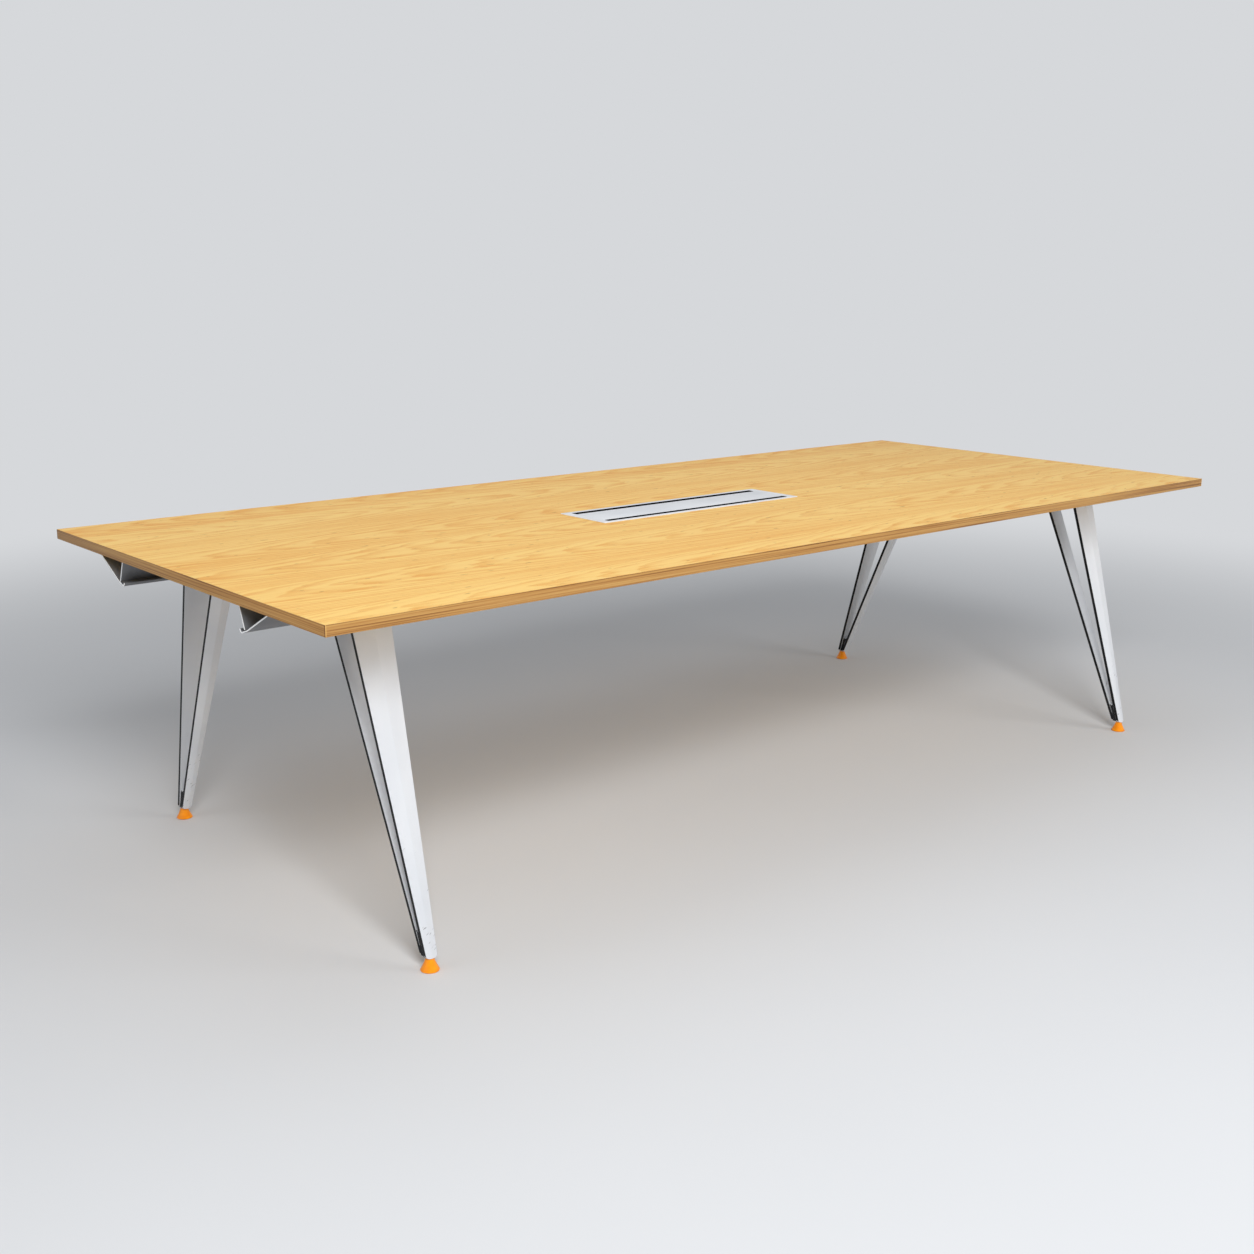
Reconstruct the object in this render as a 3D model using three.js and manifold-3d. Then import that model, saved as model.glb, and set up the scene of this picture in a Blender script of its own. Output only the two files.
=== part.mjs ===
// Conference table: a veneered top on two folded sheet beams and four forked cast legs,
// with a lidded cable flap let into the top.
// Millimetres, +X along the table, +Y across it, +Z up, origin on the floor under the middle.
import * as THREE from 'three';
import { mergeVertices } from 'three/addons/utils/BufferGeometryUtils.js';
import Module from 'manifold-3d';

const wasm = await Module();
wasm.setup();

// Top
const LENGTH = 2900;
const WIDTH = 1200;
const HEIGHT = 735;
const THICKNESS = 22;
const UNDERSIDE = HEIGHT - THICKNESS;
const LIPPING = 4;
const GLUE_LINE = 0.1;

// Least gap between pieces that fit together, and how far a cutting tool runs past a face
const CLEARANCE = 0.3;
const PASS = 1;

// Facets round the turned pieces and their holes
const ARC_STEPS = 12;
const SCREW_SIDES = 8;
const BOLT_SIDES = 8;
const STEM_SIDES = 16;
const FOOT_SIDES = 20;
const PIN_SIDES = 24;

// Cable flap: a rim round a mouth, with a lid between two brush strips
const FLAP_X = -82;
const FLAP_Y = -27;
const FLAP_LENGTH = 668;
const FLAP_WIDTH = 171;
const MOUTH_LENGTH = 620;
const MOUTH_WIDTH = 142;
const RIM = 1.5;
const FLAP_TOP = HEIGHT + GLUE_LINE + RIM;
const FLAP_WALL = 2;
const FLAP_DEPTH = 30;
const BRUSH_POCKET = 4;
const LEDGE_LENGTH = 84;
const LEDGE_REACH = 8;
const LEDGE_THICKNESS = 3;
const LID_WIDTH = 106;
const LID_THICKNESS = 3;
const LID_END_GAP = 0.5;
const LID_LIP = 9;
const BEAD_RADIUS = 3.5;
const PIN_RADIUS = 2;
const PIN_BORE = 2.1;
const PIN_LENGTH = 14;
const PIN_DEPTH_IN_LID = 12;

// Brush strips
const BACKING_HEIGHT = 6;
const TUFT_PAIRS = 80;
const TUFT_LENGTH = 16.2;
const TUFT_LIFT = 2.4;
const TUFT_TAPER = 0.4;

// Beams: section points are (distance from the table's middle, height), on the sheet's mid-plane
const SHEET = 2.5;
const BEAM_LENGTH = 2880;
const FLANGE_Z = UNDERSIDE - GLUE_LINE - SHEET / 2;
const OUTER_SHEET = [[402, FLANGE_Z], [380, FLANGE_Z], [292, 664.5], [268, 656.5], [262, 663.5]];
const INNER_SHEET = [[212, FLANGE_Z], [264, FLANGE_Z], [282.5, 664.5]];

// Legs: each limb has a top at the underside and an ankle near the floor
const LEG_X = 1215;
const ANKLE = 45;
const TOE_BOTTOM = 27;
const LIMB_THICKNESS = 10;
const OUTER_LIMB = { topY: 342.5, topWidth: 93, ankleY: 537.7, ankleWidth: 27, ridge: 0.17 };
const INNER_LIMB = { topY: 227.5, topWidth: 54, ankleY: 520, ankleWidth: 23.6, ridge: -0.27 };
const TOE_ROUND = 7;
const CROTCH = 74;
const CROTCH_RADIUS = 3;
const PAD_THICKNESS = 7;
const OUTER_PAD = { inner: 314, outer: 364, width: 96 };
const INNER_PAD = { inner: 216, outer: 262, width: 56 };

// Fasteners
const BOLT_RADIUS = 4;
const BOLT_HEAD_RADIUS = 6.5;
const BOLT_HEAD = 4.5;
const HEAD_CROWN = 0.8;
const OUTER_BOLT_Y = 328;
const OUTER_BOLT_X = 28;
const OUTER_BOLT_LENGTH = 18;
const INNER_BOLT_Y = 251;
const INNER_BOLT_LENGTH = 23;
const SCREW_RADIUS = 2;
const SCREW_HEAD_RADIUS = 4.5;
const SCREW_HEAD = 2.6;
const SCREW_LENGTH = 17;
const OUTER_SCREW_Y = 391.5;
const INNER_SCREW_Y = 236;
const SCREW_STATIONS = { left: -960, middle: 0, right: 960 };

// Levelling glides: an upright cone on a stem that runs up the leg
const FOOT_Y = 539;
const FOOT_RADIUS = 19;
const FOOT_LIP = 2.5;
const FOOT_HEIGHT = 26.4;
const FOOT_TOP_RADIUS = 8;
const FOOT_FLARE = 1.25;
const FOOT_ROUND = 0.5;
const STEM_RADIUS = 4;
const STEM_LEAN = 0.365;
const STEM_MIDDLE = 18.8;
const STEM_LOW = 10;
const STEM_HIGH = 60;
const STEM_CHAMFER = 1;

// Finishes
const veneer = () => new THREE.MeshStandardMaterial({ color: 0xe9b56b, roughness: 0.45 });
const oak = () => new THREE.MeshStandardMaterial({ color: 0xb98a4b, roughness: 0.55 });
const satin = () => new THREE.MeshStandardMaterial({ color: 0xd5d8dc, roughness: 0.35, metalness: 0.6 });
const sheetGrey = () => new THREE.MeshStandardMaterial({ color: 0x9b9ea2, roughness: 0.45, metalness: 0.6 });
const zinc = () => new THREE.MeshStandardMaterial({ color: 0xa9a9a4, roughness: 0.4, metalness: 0.9 });
const bristle = () => new THREE.MeshStandardMaterial({ color: 0x101011, roughness: 0.9 });
const orange = () => new THREE.MeshStandardMaterial({ color: 0xf0930e, roughness: 0.4 });

// Closed indexed mesh: shared corners merged, collapsed triangles dropped, faces turned outwards
function closed(geometry) {
  const bare = geometry.clone();
  bare.deleteAttribute('normal');
  bare.deleteAttribute('uv');
  const merged = mergeVertices(bare, 1e-4);
  const corner = (k) => new THREE.Vector3().fromBufferAttribute(merged.attributes.position, k);
  const kept = [];
  let volume = 0;
  for (let i = 0; i < merged.index.count; i += 3) {
    const [a, b, c] = [0, 1, 2].map((k) => merged.index.getX(i + k));
    if (a !== b && b !== c && c !== a) {
      kept.push(a, b, c);
      volume += corner(a).dot(corner(b).cross(corner(c)));
    }
  }
  merged.setIndex(volume < 0 ? kept.reverse() : kept);
  return merged;
}

// Boolean joins and cuts
function solid(geometry) {
  const mesh = closed(geometry);
  return new wasm.Manifold(new wasm.Mesh({
    numProp: 3,
    vertProperties: Float32Array.from(mesh.attributes.position.array),
    triVerts: Uint32Array.from(mesh.index.array),
  }));
}

function geometryOf(manifold) {
  const mesh = manifold.getMesh();
  const geometry = new THREE.BufferGeometry();
  geometry.setAttribute('position', new THREE.BufferAttribute(mesh.vertProperties, 3));
  geometry.setIndex(Array.from(mesh.triVerts));
  return geometry;
}

const join = (pieces) => geometryOf(pieces.map(solid).reduce((sum, piece) => sum.add(piece)));

function cut(body, tools) {
  return geometryOf(tools.map(solid).reduce((rest, tool) => rest.subtract(tool), solid(body)));
}

// Box between two corners
function block(low, high) {
  const size = high.map((value, k) => value - low[k]);
  const middle = high.map((value, k) => (value + low[k]) / 2);
  return new THREE.BoxGeometry(...size).translate(...middle);
}

// Outline in (Y, Z) drawn out along X
function alongX(outline, from, to) {
  const options = { depth: to - from, bevelEnabled: false, curveSegments: ARC_STEPS };
  const drawn = new THREE.ExtrudeGeometry(outline, options);
  const turn = new THREE.Matrix4().makeBasis(
    new THREE.Vector3(0, 1, 0),
    new THREE.Vector3(0, 0, 1),
    new THREE.Vector3(1, 0, 0),
  );
  return drawn.applyMatrix4(turn).translate(from, 0, 0);
}

// Turned piece: profile points are (radius, height) about Z
function turned(profile, sides) {
  const points = profile.map(([radius, height]) => new THREE.Vector2(radius, height));
  return new THREE.LatheGeometry(points, sides).rotateX(Math.PI / 2);
}

const rod = (radius, low, high, sides) => turned([[0, low], [radius, low], [radius, high], [0, high]], sides);

// Loft through closed loops of equal length, counterclockwise seen from above
function loft(loops) {
  const count = loops[0].length;
  const faces = [];
  for (let level = 0; level + 1 < loops.length; level += 1) {
    for (let k = 0; k < count; k += 1) {
      const [a, b] = [level * count + k, level * count + (k + 1) % count];
      faces.push(a, b, b + count, a, b + count, a + count);
    }
  }
  const lid = (loops.length - 1) * count;
  for (let k = 1; k + 1 < count; k += 1) {
    faces.push(0, k + 1, k, lid, lid + k, lid + k + 1);
  }
  const geometry = new THREE.BufferGeometry();
  geometry.setAttribute('position', new THREE.Float32BufferAttribute(loops.flat(2), 3));
  geometry.setIndex(faces);
  return geometry;
}

const table = new THREE.Group();

function add(group, name, geometry, material) {
  const mesh = new THREE.Mesh(closed(geometry), material);
  mesh.name = name;
  group.add(mesh);
  return mesh;
}

// Things that repeat at the front and the rear, the left and the right. The rear is drawn as it stands,
// and the front is the rear turned half round.
const SIDES = { front: Math.PI, rear: 0 };
const ENDS = { left: -1, right: 1 };

function turnedGroup(angle) {
  const group = new THREE.Group();
  group.rotation.z = angle;
  table.add(group);
  return group;
}

// Board with its flap cut-out and the pilot holes for screws and leg bolts
function boardHoles() {
  const holes = [];
  for (const side of [-1, 1]) {
    for (const x of Object.values(SCREW_STATIONS)) {
      for (const y of [OUTER_SCREW_Y, INNER_SCREW_Y]) {
        const top = UNDERSIDE + SCREW_LENGTH;
        holes.push(rod(SCREW_RADIUS + CLEARANCE, UNDERSIDE - PASS, top, SCREW_SIDES)
          .translate(x, side * y, 0));
      }
    }
    for (const end of [-1, 1]) {
      const top = UNDERSIDE + INNER_BOLT_LENGTH - PAD_THICKNESS;
      holes.push(rod(BOLT_RADIUS + CLEARANCE, UNDERSIDE - PASS, top, BOLT_SIDES)
        .translate(end * LEG_X, side * INNER_BOLT_Y, 0));
    }
  }
  return holes;
}

function tabletopBoard() {
  const reachX = LENGTH / 2 - LIPPING - GLUE_LINE;
  const reachY = WIDTH / 2 - LIPPING - GLUE_LINE;
  const board = block([-reachX, -reachY, UNDERSIDE], [reachX, reachY, HEIGHT]);
  const halfX = MOUTH_LENGTH / 2 + FLAP_WALL + CLEARANCE;
  const halfY = MOUTH_WIDTH / 2 + BRUSH_POCKET + FLAP_WALL + CLEARANCE;
  const cutOut = block([-halfX, -halfY, UNDERSIDE - PASS], [halfX, halfY, HEIGHT + PASS]);
  cutOut.translate(FLAP_X, FLAP_Y, 0);
  return cut(board, [cutOut, ...boardHoles()]);
}

// Solid lippings round the board, mitred at the corners
function lipping(length) {
  const half = length / 2 - GLUE_LINE;
  const loop = (z) => [
    [-half, 0, z], [half, 0, z], [half - LIPPING, LIPPING, z], [-half + LIPPING, LIPPING, z],
  ];
  return loft([loop(UNDERSIDE), loop(HEIGHT)]);
}

function addTop() {
  add(table, 'tabletop_board', tabletopBoard(), veneer());
  const edges = [
    ['lipping_front', LENGTH, WIDTH, 0],
    ['lipping_right', WIDTH, LENGTH, Math.PI / 2],
    ['lipping_rear', LENGTH, WIDTH, Math.PI],
    ['lipping_left', WIDTH, LENGTH, -Math.PI / 2],
  ];
  for (const [name, along, across, angle] of edges) {
    const group = turnedGroup(angle);
    add(group, name, lipping(along), oak()).position.y = -across / 2;
  }
}

// Flap frame: a rim on the top, walls through the board and a ledge at each end that the lid lies on
function flapFrame() {
  const halfMouth = MOUTH_LENGTH / 2;
  const wallY = MOUTH_WIDTH / 2 + BRUSH_POCKET;
  const bottom = FLAP_TOP - FLAP_DEPTH;
  const rim = block(
    [-FLAP_LENGTH / 2, -FLAP_WIDTH / 2, FLAP_TOP - RIM],
    [FLAP_LENGTH / 2, FLAP_WIDTH / 2, FLAP_TOP],
  );
  const sleeve = block(
    [-halfMouth - FLAP_WALL, -wallY - FLAP_WALL, bottom],
    [halfMouth + FLAP_WALL, wallY + FLAP_WALL, FLAP_TOP - RIM / 2],
  );
  const mouth = block(
    [-halfMouth, -MOUTH_WIDTH / 2, bottom - PASS],
    [halfMouth, MOUTH_WIDTH / 2, FLAP_TOP + PASS],
  );
  const pockets = block([-halfMouth, -wallY, bottom - PASS], [halfMouth, wallY, FLAP_TOP - RIM]);
  const shell = cut(join([rim, sleeve]), [mouth, pockets]);
  const ledgeTop = FLAP_TOP - LID_THICKNESS - CLEARANCE;
  const ledges = Object.values(ENDS).map((end) => {
    const reach = [end * (halfMouth - LEDGE_REACH), end * (halfMouth + FLAP_WALL / 2)].sort((a, b) => a - b);
    return block(
      [reach[0], -LEDGE_LENGTH / 2, ledgeTop - LEDGE_THICKNESS],
      [reach[1], LEDGE_LENGTH / 2, ledgeTop],
    );
  });
  const pinHoles = Object.values(ENDS).map((end) => pinRod(end, PIN_BORE, FLAP_WALL * 2));
  return cut(join([shell, ...ledges]), pinHoles);
}

// Hinge line of the lid, near its rear edge, and a rod on it that starts outside an end wall
const HINGE_Y = LID_WIDTH / 2 - BEAD_RADIUS;
const HINGE_Z = FLAP_TOP - BEAD_RADIUS;

function pinRod(end, radius, length) {
  const outside = MOUTH_LENGTH / 2 + FLAP_WALL;
  return rod(radius, 0, length, PIN_SIDES)
    .rotateY(-end * Math.PI / 2)
    .translate(end * outside, HINGE_Y, HINGE_Z);
}

// Lid: a plate with a turned-down front lip and a bead along the hinge line
function flapLid() {
  const half = LID_WIDTH / 2;
  const bead = half - BEAD_RADIUS;
  const outline = new THREE.Shape();
  outline.moveTo(-half, -LID_LIP);
  outline.lineTo(-half + LID_THICKNESS, -LID_LIP);
  outline.lineTo(-half + LID_THICKNESS, -LID_THICKNESS);
  outline.lineTo(bead - BEAD_RADIUS, -LID_THICKNESS);
  outline.absarc(bead, -BEAD_RADIUS, BEAD_RADIUS, Math.PI, Math.PI * 2.5, false);
  outline.lineTo(-half, 0);
  const reach = MOUTH_LENGTH / 2 - LID_END_GAP;
  const plate = alongX(outline, -reach, reach).translate(0, 0, FLAP_TOP);
  const depth = FLAP_WALL + PIN_DEPTH_IN_LID + PASS;
  const bores = Object.values(ENDS).map((end) => pinRod(end, PIN_BORE, depth));
  return cut(plate, bores);
}

// Brush strip: a backing bar whose front face is tiled with tapering tufts, which rise to the rim
function brushStrip() {
  const half = MOUTH_LENGTH / 2 - LID_END_GAP;
  const step = (2 * half) / TUFT_PAIRS;
  const face = MOUTH_WIDTH / 2;
  const back = face + BRUSH_POCKET - CLEARANCE;
  const high = FLAP_TOP - RIM - CLEARANCE;
  const low = high - BACKING_HEIGHT;
  const points = [];
  const faces = [];
  const point = (x, y, z) => points.push([x, y, z]) - 1;
  const lowRow = [];
  const highRow = [point(-half, face, high)];
  for (let k = 0; k <= TUFT_PAIRS; k += 1) {
    lowRow.push(point(-half + k * step, face, low));
    highRow.push(point(Math.min(-half + (k + 0.5) * step, half), face, high));
  }
  // one tuft on a triangle of the front face, named counterclockwise seen from the front
  const tuft = (base) => {
    const middle = [0, 1, 2].map((axis) => base.reduce((sum, k) => sum + points[k][axis], 0) / 3);
    const tip = base.map((k) => point(
      middle[0] + TUFT_TAPER * (points[k][0] - middle[0]),
      face - TUFT_LENGTH,
      middle[2] + TUFT_LIFT + TUFT_TAPER * (points[k][2] - middle[2]),
    ));
    for (let k = 0; k < 3; k += 1) {
      const next = (k + 1) % 3;
      faces.push(base[k], base[next], tip[next], base[k], tip[next], tip[k]);
    }
    faces.push(...tip);
  };
  for (let k = 0; k <= TUFT_PAIRS; k += 1) {
    tuft([lowRow[k], highRow[k + 1], highRow[k]]);
    if (k < TUFT_PAIRS) {
      tuft([lowRow[k], lowRow[k + 1], highRow[k + 1]]);
    }
  }
  // back, ends, underside and upper side of the bar
  const [backLowL, backLowR] = [point(-half, back, low), point(half, back, low)];
  const [backHighL, backHighR] = [point(-half, back, high), point(half, back, high)];
  faces.push(backLowL, backHighR, backLowR, backLowL, backHighL, backHighR);
  faces.push(lowRow[0], highRow[0], backHighL, lowRow[0], backHighL, backLowL);
  const [lowEnd, highEnd] = [lowRow.at(-1), highRow.at(-1)];
  faces.push(lowEnd, backHighR, highEnd, lowEnd, backLowR, backHighR);
  const fan = (row, left, right, flip) => {
    const turn = Math.floor(row.length / 2);
    const triangle = (a, b, c) => faces.push(...(flip ? [a, c, b] : [a, b, c]));
    for (let k = 0; k + 1 < row.length; k += 1) {
      triangle(row[k], row[k + 1], k < turn ? left : right);
    }
    triangle(row[turn], right, left);
  };
  fan(highRow, backHighL, backHighR, false);
  fan(lowRow, backLowL, backLowR, true);
  const geometry = new THREE.BufferGeometry();
  geometry.setAttribute('position', new THREE.Float32BufferAttribute(points.flat(), 3));
  geometry.setIndex(faces);
  return geometry;
}

function addFlap() {
  const flap = new THREE.Group();
  flap.position.set(FLAP_X, FLAP_Y, 0);
  table.add(flap);
  add(flap, 'flap_frame', flapFrame(), satin());
  add(flap, 'flap_lid', flapLid(), satin());
  for (const [end, sign] of Object.entries(ENDS)) {
    add(flap, `lid_pin_${end}`, pinRod(sign, PIN_RADIUS, PIN_LENGTH), zinc());
  }
  for (const [side, angle] of Object.entries(SIDES)) {
    add(flap, `brush_strip_${side}`, brushStrip(), bristle()).rotation.z = angle;
  }
}

// Closed outline of a folded sheet, given the points of its mid-plane
function foldedOutline(path) {
  const points = path.map(([u, v]) => new THREE.Vector2(u, v));
  const normals = points.slice(1).map((p, k) => {
    const run = p.clone().sub(points[k]).normalize();
    return new THREE.Vector2(-run.y, run.x);
  });
  const offset = (sign) => points.map((p, k) => {
    const before = normals[Math.max(k - 1, 0)];
    const after = normals[Math.min(k, normals.length - 1)];
    const mitre = before.clone().add(after).normalize();
    return p.clone().addScaledVector(mitre, (sign * SHEET) / 2 / mitre.dot(before));
  });
  return new THREE.Shape([...offset(1), ...offset(-1).reverse()]);
}

// Slope of the outer sheet's web, and a frame on it: origin on its mid-plane at a given distance out
const WEB_ANGLE = Math.atan2(OUTER_SHEET[1][1] - OUTER_SHEET[2][1], OUTER_SHEET[1][0] - OUTER_SHEET[2][0]);

function onWeb(geometry, x, y) {
  const [[, high], [tipY, tipZ]] = [OUTER_SHEET[1], OUTER_SHEET[2]];
  const z = tipZ + (high - tipZ) * ((y - tipY) / (OUTER_SHEET[1][0] - tipY));
  return geometry.rotateX(WEB_ANGLE).translate(x, y, z);
}

function flangeHoles(y) {
  return Object.values(SCREW_STATIONS).map((x) => (
    rod(SCREW_RADIUS + CLEARANCE, FLANGE_Z - SHEET, FLANGE_Z + SHEET, SCREW_SIDES).translate(x, y, 0)
  ));
}

function outerSheet() {
  const folded = alongX(foldedOutline(OUTER_SHEET), -BEAM_LENGTH / 2, BEAM_LENGTH / 2);
  const boltHoles = [];
  for (const end of Object.values(ENDS)) {
    for (const side of [-1, 1]) {
      const hole = rod(BOLT_RADIUS + CLEARANCE, -SHEET, SHEET, BOLT_SIDES);
      boltHoles.push(onWeb(hole, end * LEG_X + side * OUTER_BOLT_X, OUTER_BOLT_Y));
    }
  }
  return cut(folded, [...flangeHoles(OUTER_SCREW_Y), ...boltHoles]);
}

function innerSheet() {
  const folded = alongX(foldedOutline(INNER_SHEET), -BEAM_LENGTH / 2, BEAM_LENGTH / 2);
  const boltHoles = Object.values(ENDS).map((end) => (
    rod(BOLT_RADIUS + CLEARANCE, FLANGE_Z - SHEET, FLANGE_Z + SHEET, BOLT_SIDES)
      .translate(end * LEG_X, INNER_BOLT_Y, 0)
  ));
  return cut(folded, [...flangeHoles(INNER_SCREW_Y), ...boltHoles]);
}

// Fastener with its head below and its shank up from z = 0
function fastener(radius, length, headRadius, head, sides) {
  return turned([
    [0, -head],
    [headRadius * HEAD_CROWN, -head],
    [headRadius, -head / 2],
    [headRadius, 0],
    [radius, 0],
    [radius, length],
    [0, length],
  ], sides);
}

function addBeams() {
  for (const [side, angle] of Object.entries(SIDES)) {
    const beam = turnedGroup(angle);
    add(beam, `beam_outer_sheet_${side}`, outerSheet(), sheetGrey());
    add(beam, `beam_inner_sheet_${side}`, innerSheet(), sheetGrey());
    const rows = { outer: OUTER_SCREW_Y, inner: INNER_SCREW_Y };
    for (const [row, y] of Object.entries(rows)) {
      for (const [station, x] of Object.entries(SCREW_STATIONS)) {
        const screw = fastener(SCREW_RADIUS, SCREW_LENGTH, SCREW_HEAD_RADIUS, SCREW_HEAD, SCREW_SIDES);
        const seat = FLANGE_Z - SHEET / 2 - CLEARANCE / 2;
        add(beam, `screw_${side}_${row}_${station}`, screw, zinc())
          .position.set(Math.cos(angle) * x, y, seat);
      }
    }
  }
}

// Limb of a leg: a tapered bar with a ridge down the side that faces away from its twin
const along = (from, to, z) => from + (to - from) * ((UNDERSIDE - z) / (UNDERSIDE - ANKLE));

function limbLoop(limb, z, trim) {
  const y = along(limb.topY, limb.ankleY, z);
  const half = along(limb.topWidth, limb.ankleWidth, z) / 2 - trim;
  const thick = LIMB_THICKNESS / 2;
  const ridge = Math.abs(limb.ridge) * half;
  const [near, far] = [y - thick, y + thick];
  if (limb.ridge > 0) {
    return [[-half, near, z], [half, near, z], [half, far, z], [0, far + ridge, z], [-half, far, z]];
  }
  return [[-half, near, z], [0, near - ridge, z], [half, near, z], [half, far, z], [-half, far, z]];
}

function limb(shape, top) {
  const quarter = [0, 30, 60, 90].map((degrees) => THREE.MathUtils.degToRad(degrees));
  const rounded = quarter.map((angle) => limbLoop(
    shape,
    TOE_BOTTOM + TOE_ROUND * (1 - Math.cos(angle)),
    TOE_ROUND * (1 - Math.sin(angle)),
  ));
  return loft([...rounded, limbLoop(shape, top, 0)]);
}

// Toe: fills the fork below its crotch
function toe() {
  const half = INNER_LIMB.ankleWidth / 2;
  const loop = (z, reach) => {
    const inner = along(INNER_LIMB.topY, INNER_LIMB.ankleY, z);
    const outer = along(OUTER_LIMB.topY, OUTER_LIMB.ankleY, z);
    return [[-reach, inner, z], [reach, inner, z], [reach, outer, z], [-reach, outer, z]];
  };
  const filled = loft([
    loop(TOE_BOTTOM, half - TOE_ROUND / 2),
    loop(TOE_BOTTOM + TOE_ROUND, half),
    loop(CROTCH + CROTCH_RADIUS, half),
  ]);
  const crotchY = (along(INNER_LIMB.topY, INNER_LIMB.ankleY, CROTCH)
    + along(OUTER_LIMB.topY, OUTER_LIMB.ankleY, CROTCH)) / 2;
  const round = rod(CROTCH_RADIUS, -half * 2, half * 2, ARC_STEPS)
    .rotateY(Math.PI / 2)
    .translate(0, crotchY, CROTCH + CROTCH_RADIUS);
  return cut(filled, [round]);
}

// Pads that carry the beam: one under the sloping web, one flat under the inner flange
function outerPad() {
  const lengthOf = (y) => (y - OUTER_BOLT_Y) / Math.cos(WEB_ANGLE);
  const top = -SHEET / 2 - CLEARANCE;
  const half = OUTER_PAD.width / 2;
  const pad = block(
    [-half, lengthOf(OUTER_PAD.inner), top - PAD_THICKNESS],
    [half, lengthOf(OUTER_PAD.outer), top],
  );
  return onWeb(pad, 0, OUTER_BOLT_Y);
}

function innerPad() {
  const top = FLANGE_Z - SHEET / 2 - CLEARANCE;
  const half = INNER_PAD.width / 2;
  return block([-half, INNER_PAD.inner, top - PAD_THICKNESS], [half, INNER_PAD.outer, top]);
}

// Space above the sloping web, which trims the outer limb
function aboveWeb() {
  const depth = THICKNESS * 3;
  const length = OUTER_PAD.width * 2;
  const lift = -SHEET / 2 - CLEARANCE - PAD_THICKNESS / 2;
  return onWeb(block([-length, -length, lift], [length, length, lift + depth]), 0, OUTER_BOLT_Y);
}

// Stem axis: leans in up the leg, so that it stays in the middle of the toe
function alongStem(geometry) {
  return geometry.rotateX(Math.atan(STEM_LEAN)).translate(0, FOOT_Y, STEM_MIDDLE);
}

const stemReach = (z) => (z - STEM_MIDDLE) * Math.hypot(1, STEM_LEAN);

function legCasting() {
  const padTop = FLANGE_Z - SHEET / 2 - CLEARANCE;
  const outer = cut(limb(OUTER_LIMB, UNDERSIDE), [aboveWeb()]);
  const inner = limb(INNER_LIMB, padTop - PAD_THICKNESS / 2);
  const whole = join([outer, inner, toe(), outerPad(), innerPad()]);
  const bolts = [-1, 1].map((side) => {
    const hole = rod(BOLT_RADIUS + CLEARANCE, -2 * PAD_THICKNESS, SHEET, BOLT_SIDES);
    return onWeb(hole, side * OUTER_BOLT_X, OUTER_BOLT_Y);
  });
  const innerBolt = rod(BOLT_RADIUS + CLEARANCE, padTop - 2 * PAD_THICKNESS, padTop + PASS, BOLT_SIDES)
    .translate(0, INNER_BOLT_Y, 0);
  const boreTop = stemReach(STEM_HIGH + CLEARANCE);
  const stemBore = alongStem(rod(STEM_RADIUS + CLEARANCE, stemReach(STEM_LOW), boreTop, STEM_SIDES));
  return cut(whole, [...bolts, innerBolt, stemBore]);
}

// Glide: a cone with a flared side and a thin lip, moulded round the stem's lower end
function glideFoot() {
  const flare = [0.75, 0.5, 0.25].map((share) => [
    FOOT_TOP_RADIUS + (FOOT_RADIUS - FOOT_TOP_RADIUS) * share ** FOOT_FLARE,
    FOOT_HEIGHT - (FOOT_HEIGHT - FOOT_LIP) * share,
  ]);
  const cone = turned([
    [0, 0],
    [FOOT_RADIUS - FOOT_ROUND, 0],
    [FOOT_RADIUS, FOOT_LIP / 2],
    [FOOT_RADIUS - FOOT_ROUND, FOOT_LIP],
    ...flare,
    [FOOT_TOP_RADIUS, FOOT_HEIGHT],
    [0, FOOT_HEIGHT],
  ], FOOT_SIDES).translate(0, FOOT_Y, 0);
  const floor = stemReach(STEM_LOW) - CLEARANCE;
  const socket = alongStem(rod(STEM_RADIUS + CLEARANCE, floor, stemReach(STEM_HIGH), STEM_SIDES));
  return cut(cone, [socket]);
}

function glideStem() {
  const [low, high] = [stemReach(STEM_LOW), stemReach(STEM_HIGH)];
  return alongStem(turned([
    [0, low],
    [STEM_RADIUS, low],
    [STEM_RADIUS, high - STEM_CHAMFER],
    [STEM_RADIUS - STEM_CHAMFER, high],
    [0, high],
  ], STEM_SIDES));
}

function addLegs() {
  for (const [side, angle] of Object.entries(SIDES)) {
    for (const [end, sign] of Object.entries(ENDS)) {
      const leg = new THREE.Group();
      leg.position.x = sign * LEG_X;
      leg.rotation.z = angle;
      table.add(leg);
      add(leg, `leg_${side}_${end}`, legCasting(), satin());
      add(leg, `glide_stem_${side}_${end}`, glideStem(), zinc());
      add(leg, `glide_foot_${side}_${end}`, glideFoot(), orange());
      const seat = -SHEET / 2 - CLEARANCE * 1.5 - PAD_THICKNESS;
      for (const [place, x] of [['a', -OUTER_BOLT_X], ['b', OUTER_BOLT_X]]) {
        const bolt = fastener(BOLT_RADIUS, OUTER_BOLT_LENGTH, BOLT_HEAD_RADIUS, BOLT_HEAD, BOLT_SIDES);
        const placed = onWeb(bolt.translate(0, 0, seat), x, OUTER_BOLT_Y);
        add(leg, `leg_bolt_outer_${side}_${end}_${place}`, placed, zinc());
      }
      const innerBolt = fastener(BOLT_RADIUS, INNER_BOLT_LENGTH, BOLT_HEAD_RADIUS, BOLT_HEAD, BOLT_SIDES);
      add(leg, `leg_bolt_inner_${side}_${end}`, innerBolt, zinc())
        .position.set(0, INNER_BOLT_Y, FLANGE_Z + seat);
    }
  }
}

addTop();
addFlap();
addBeams();
addLegs();

export default table;
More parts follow.
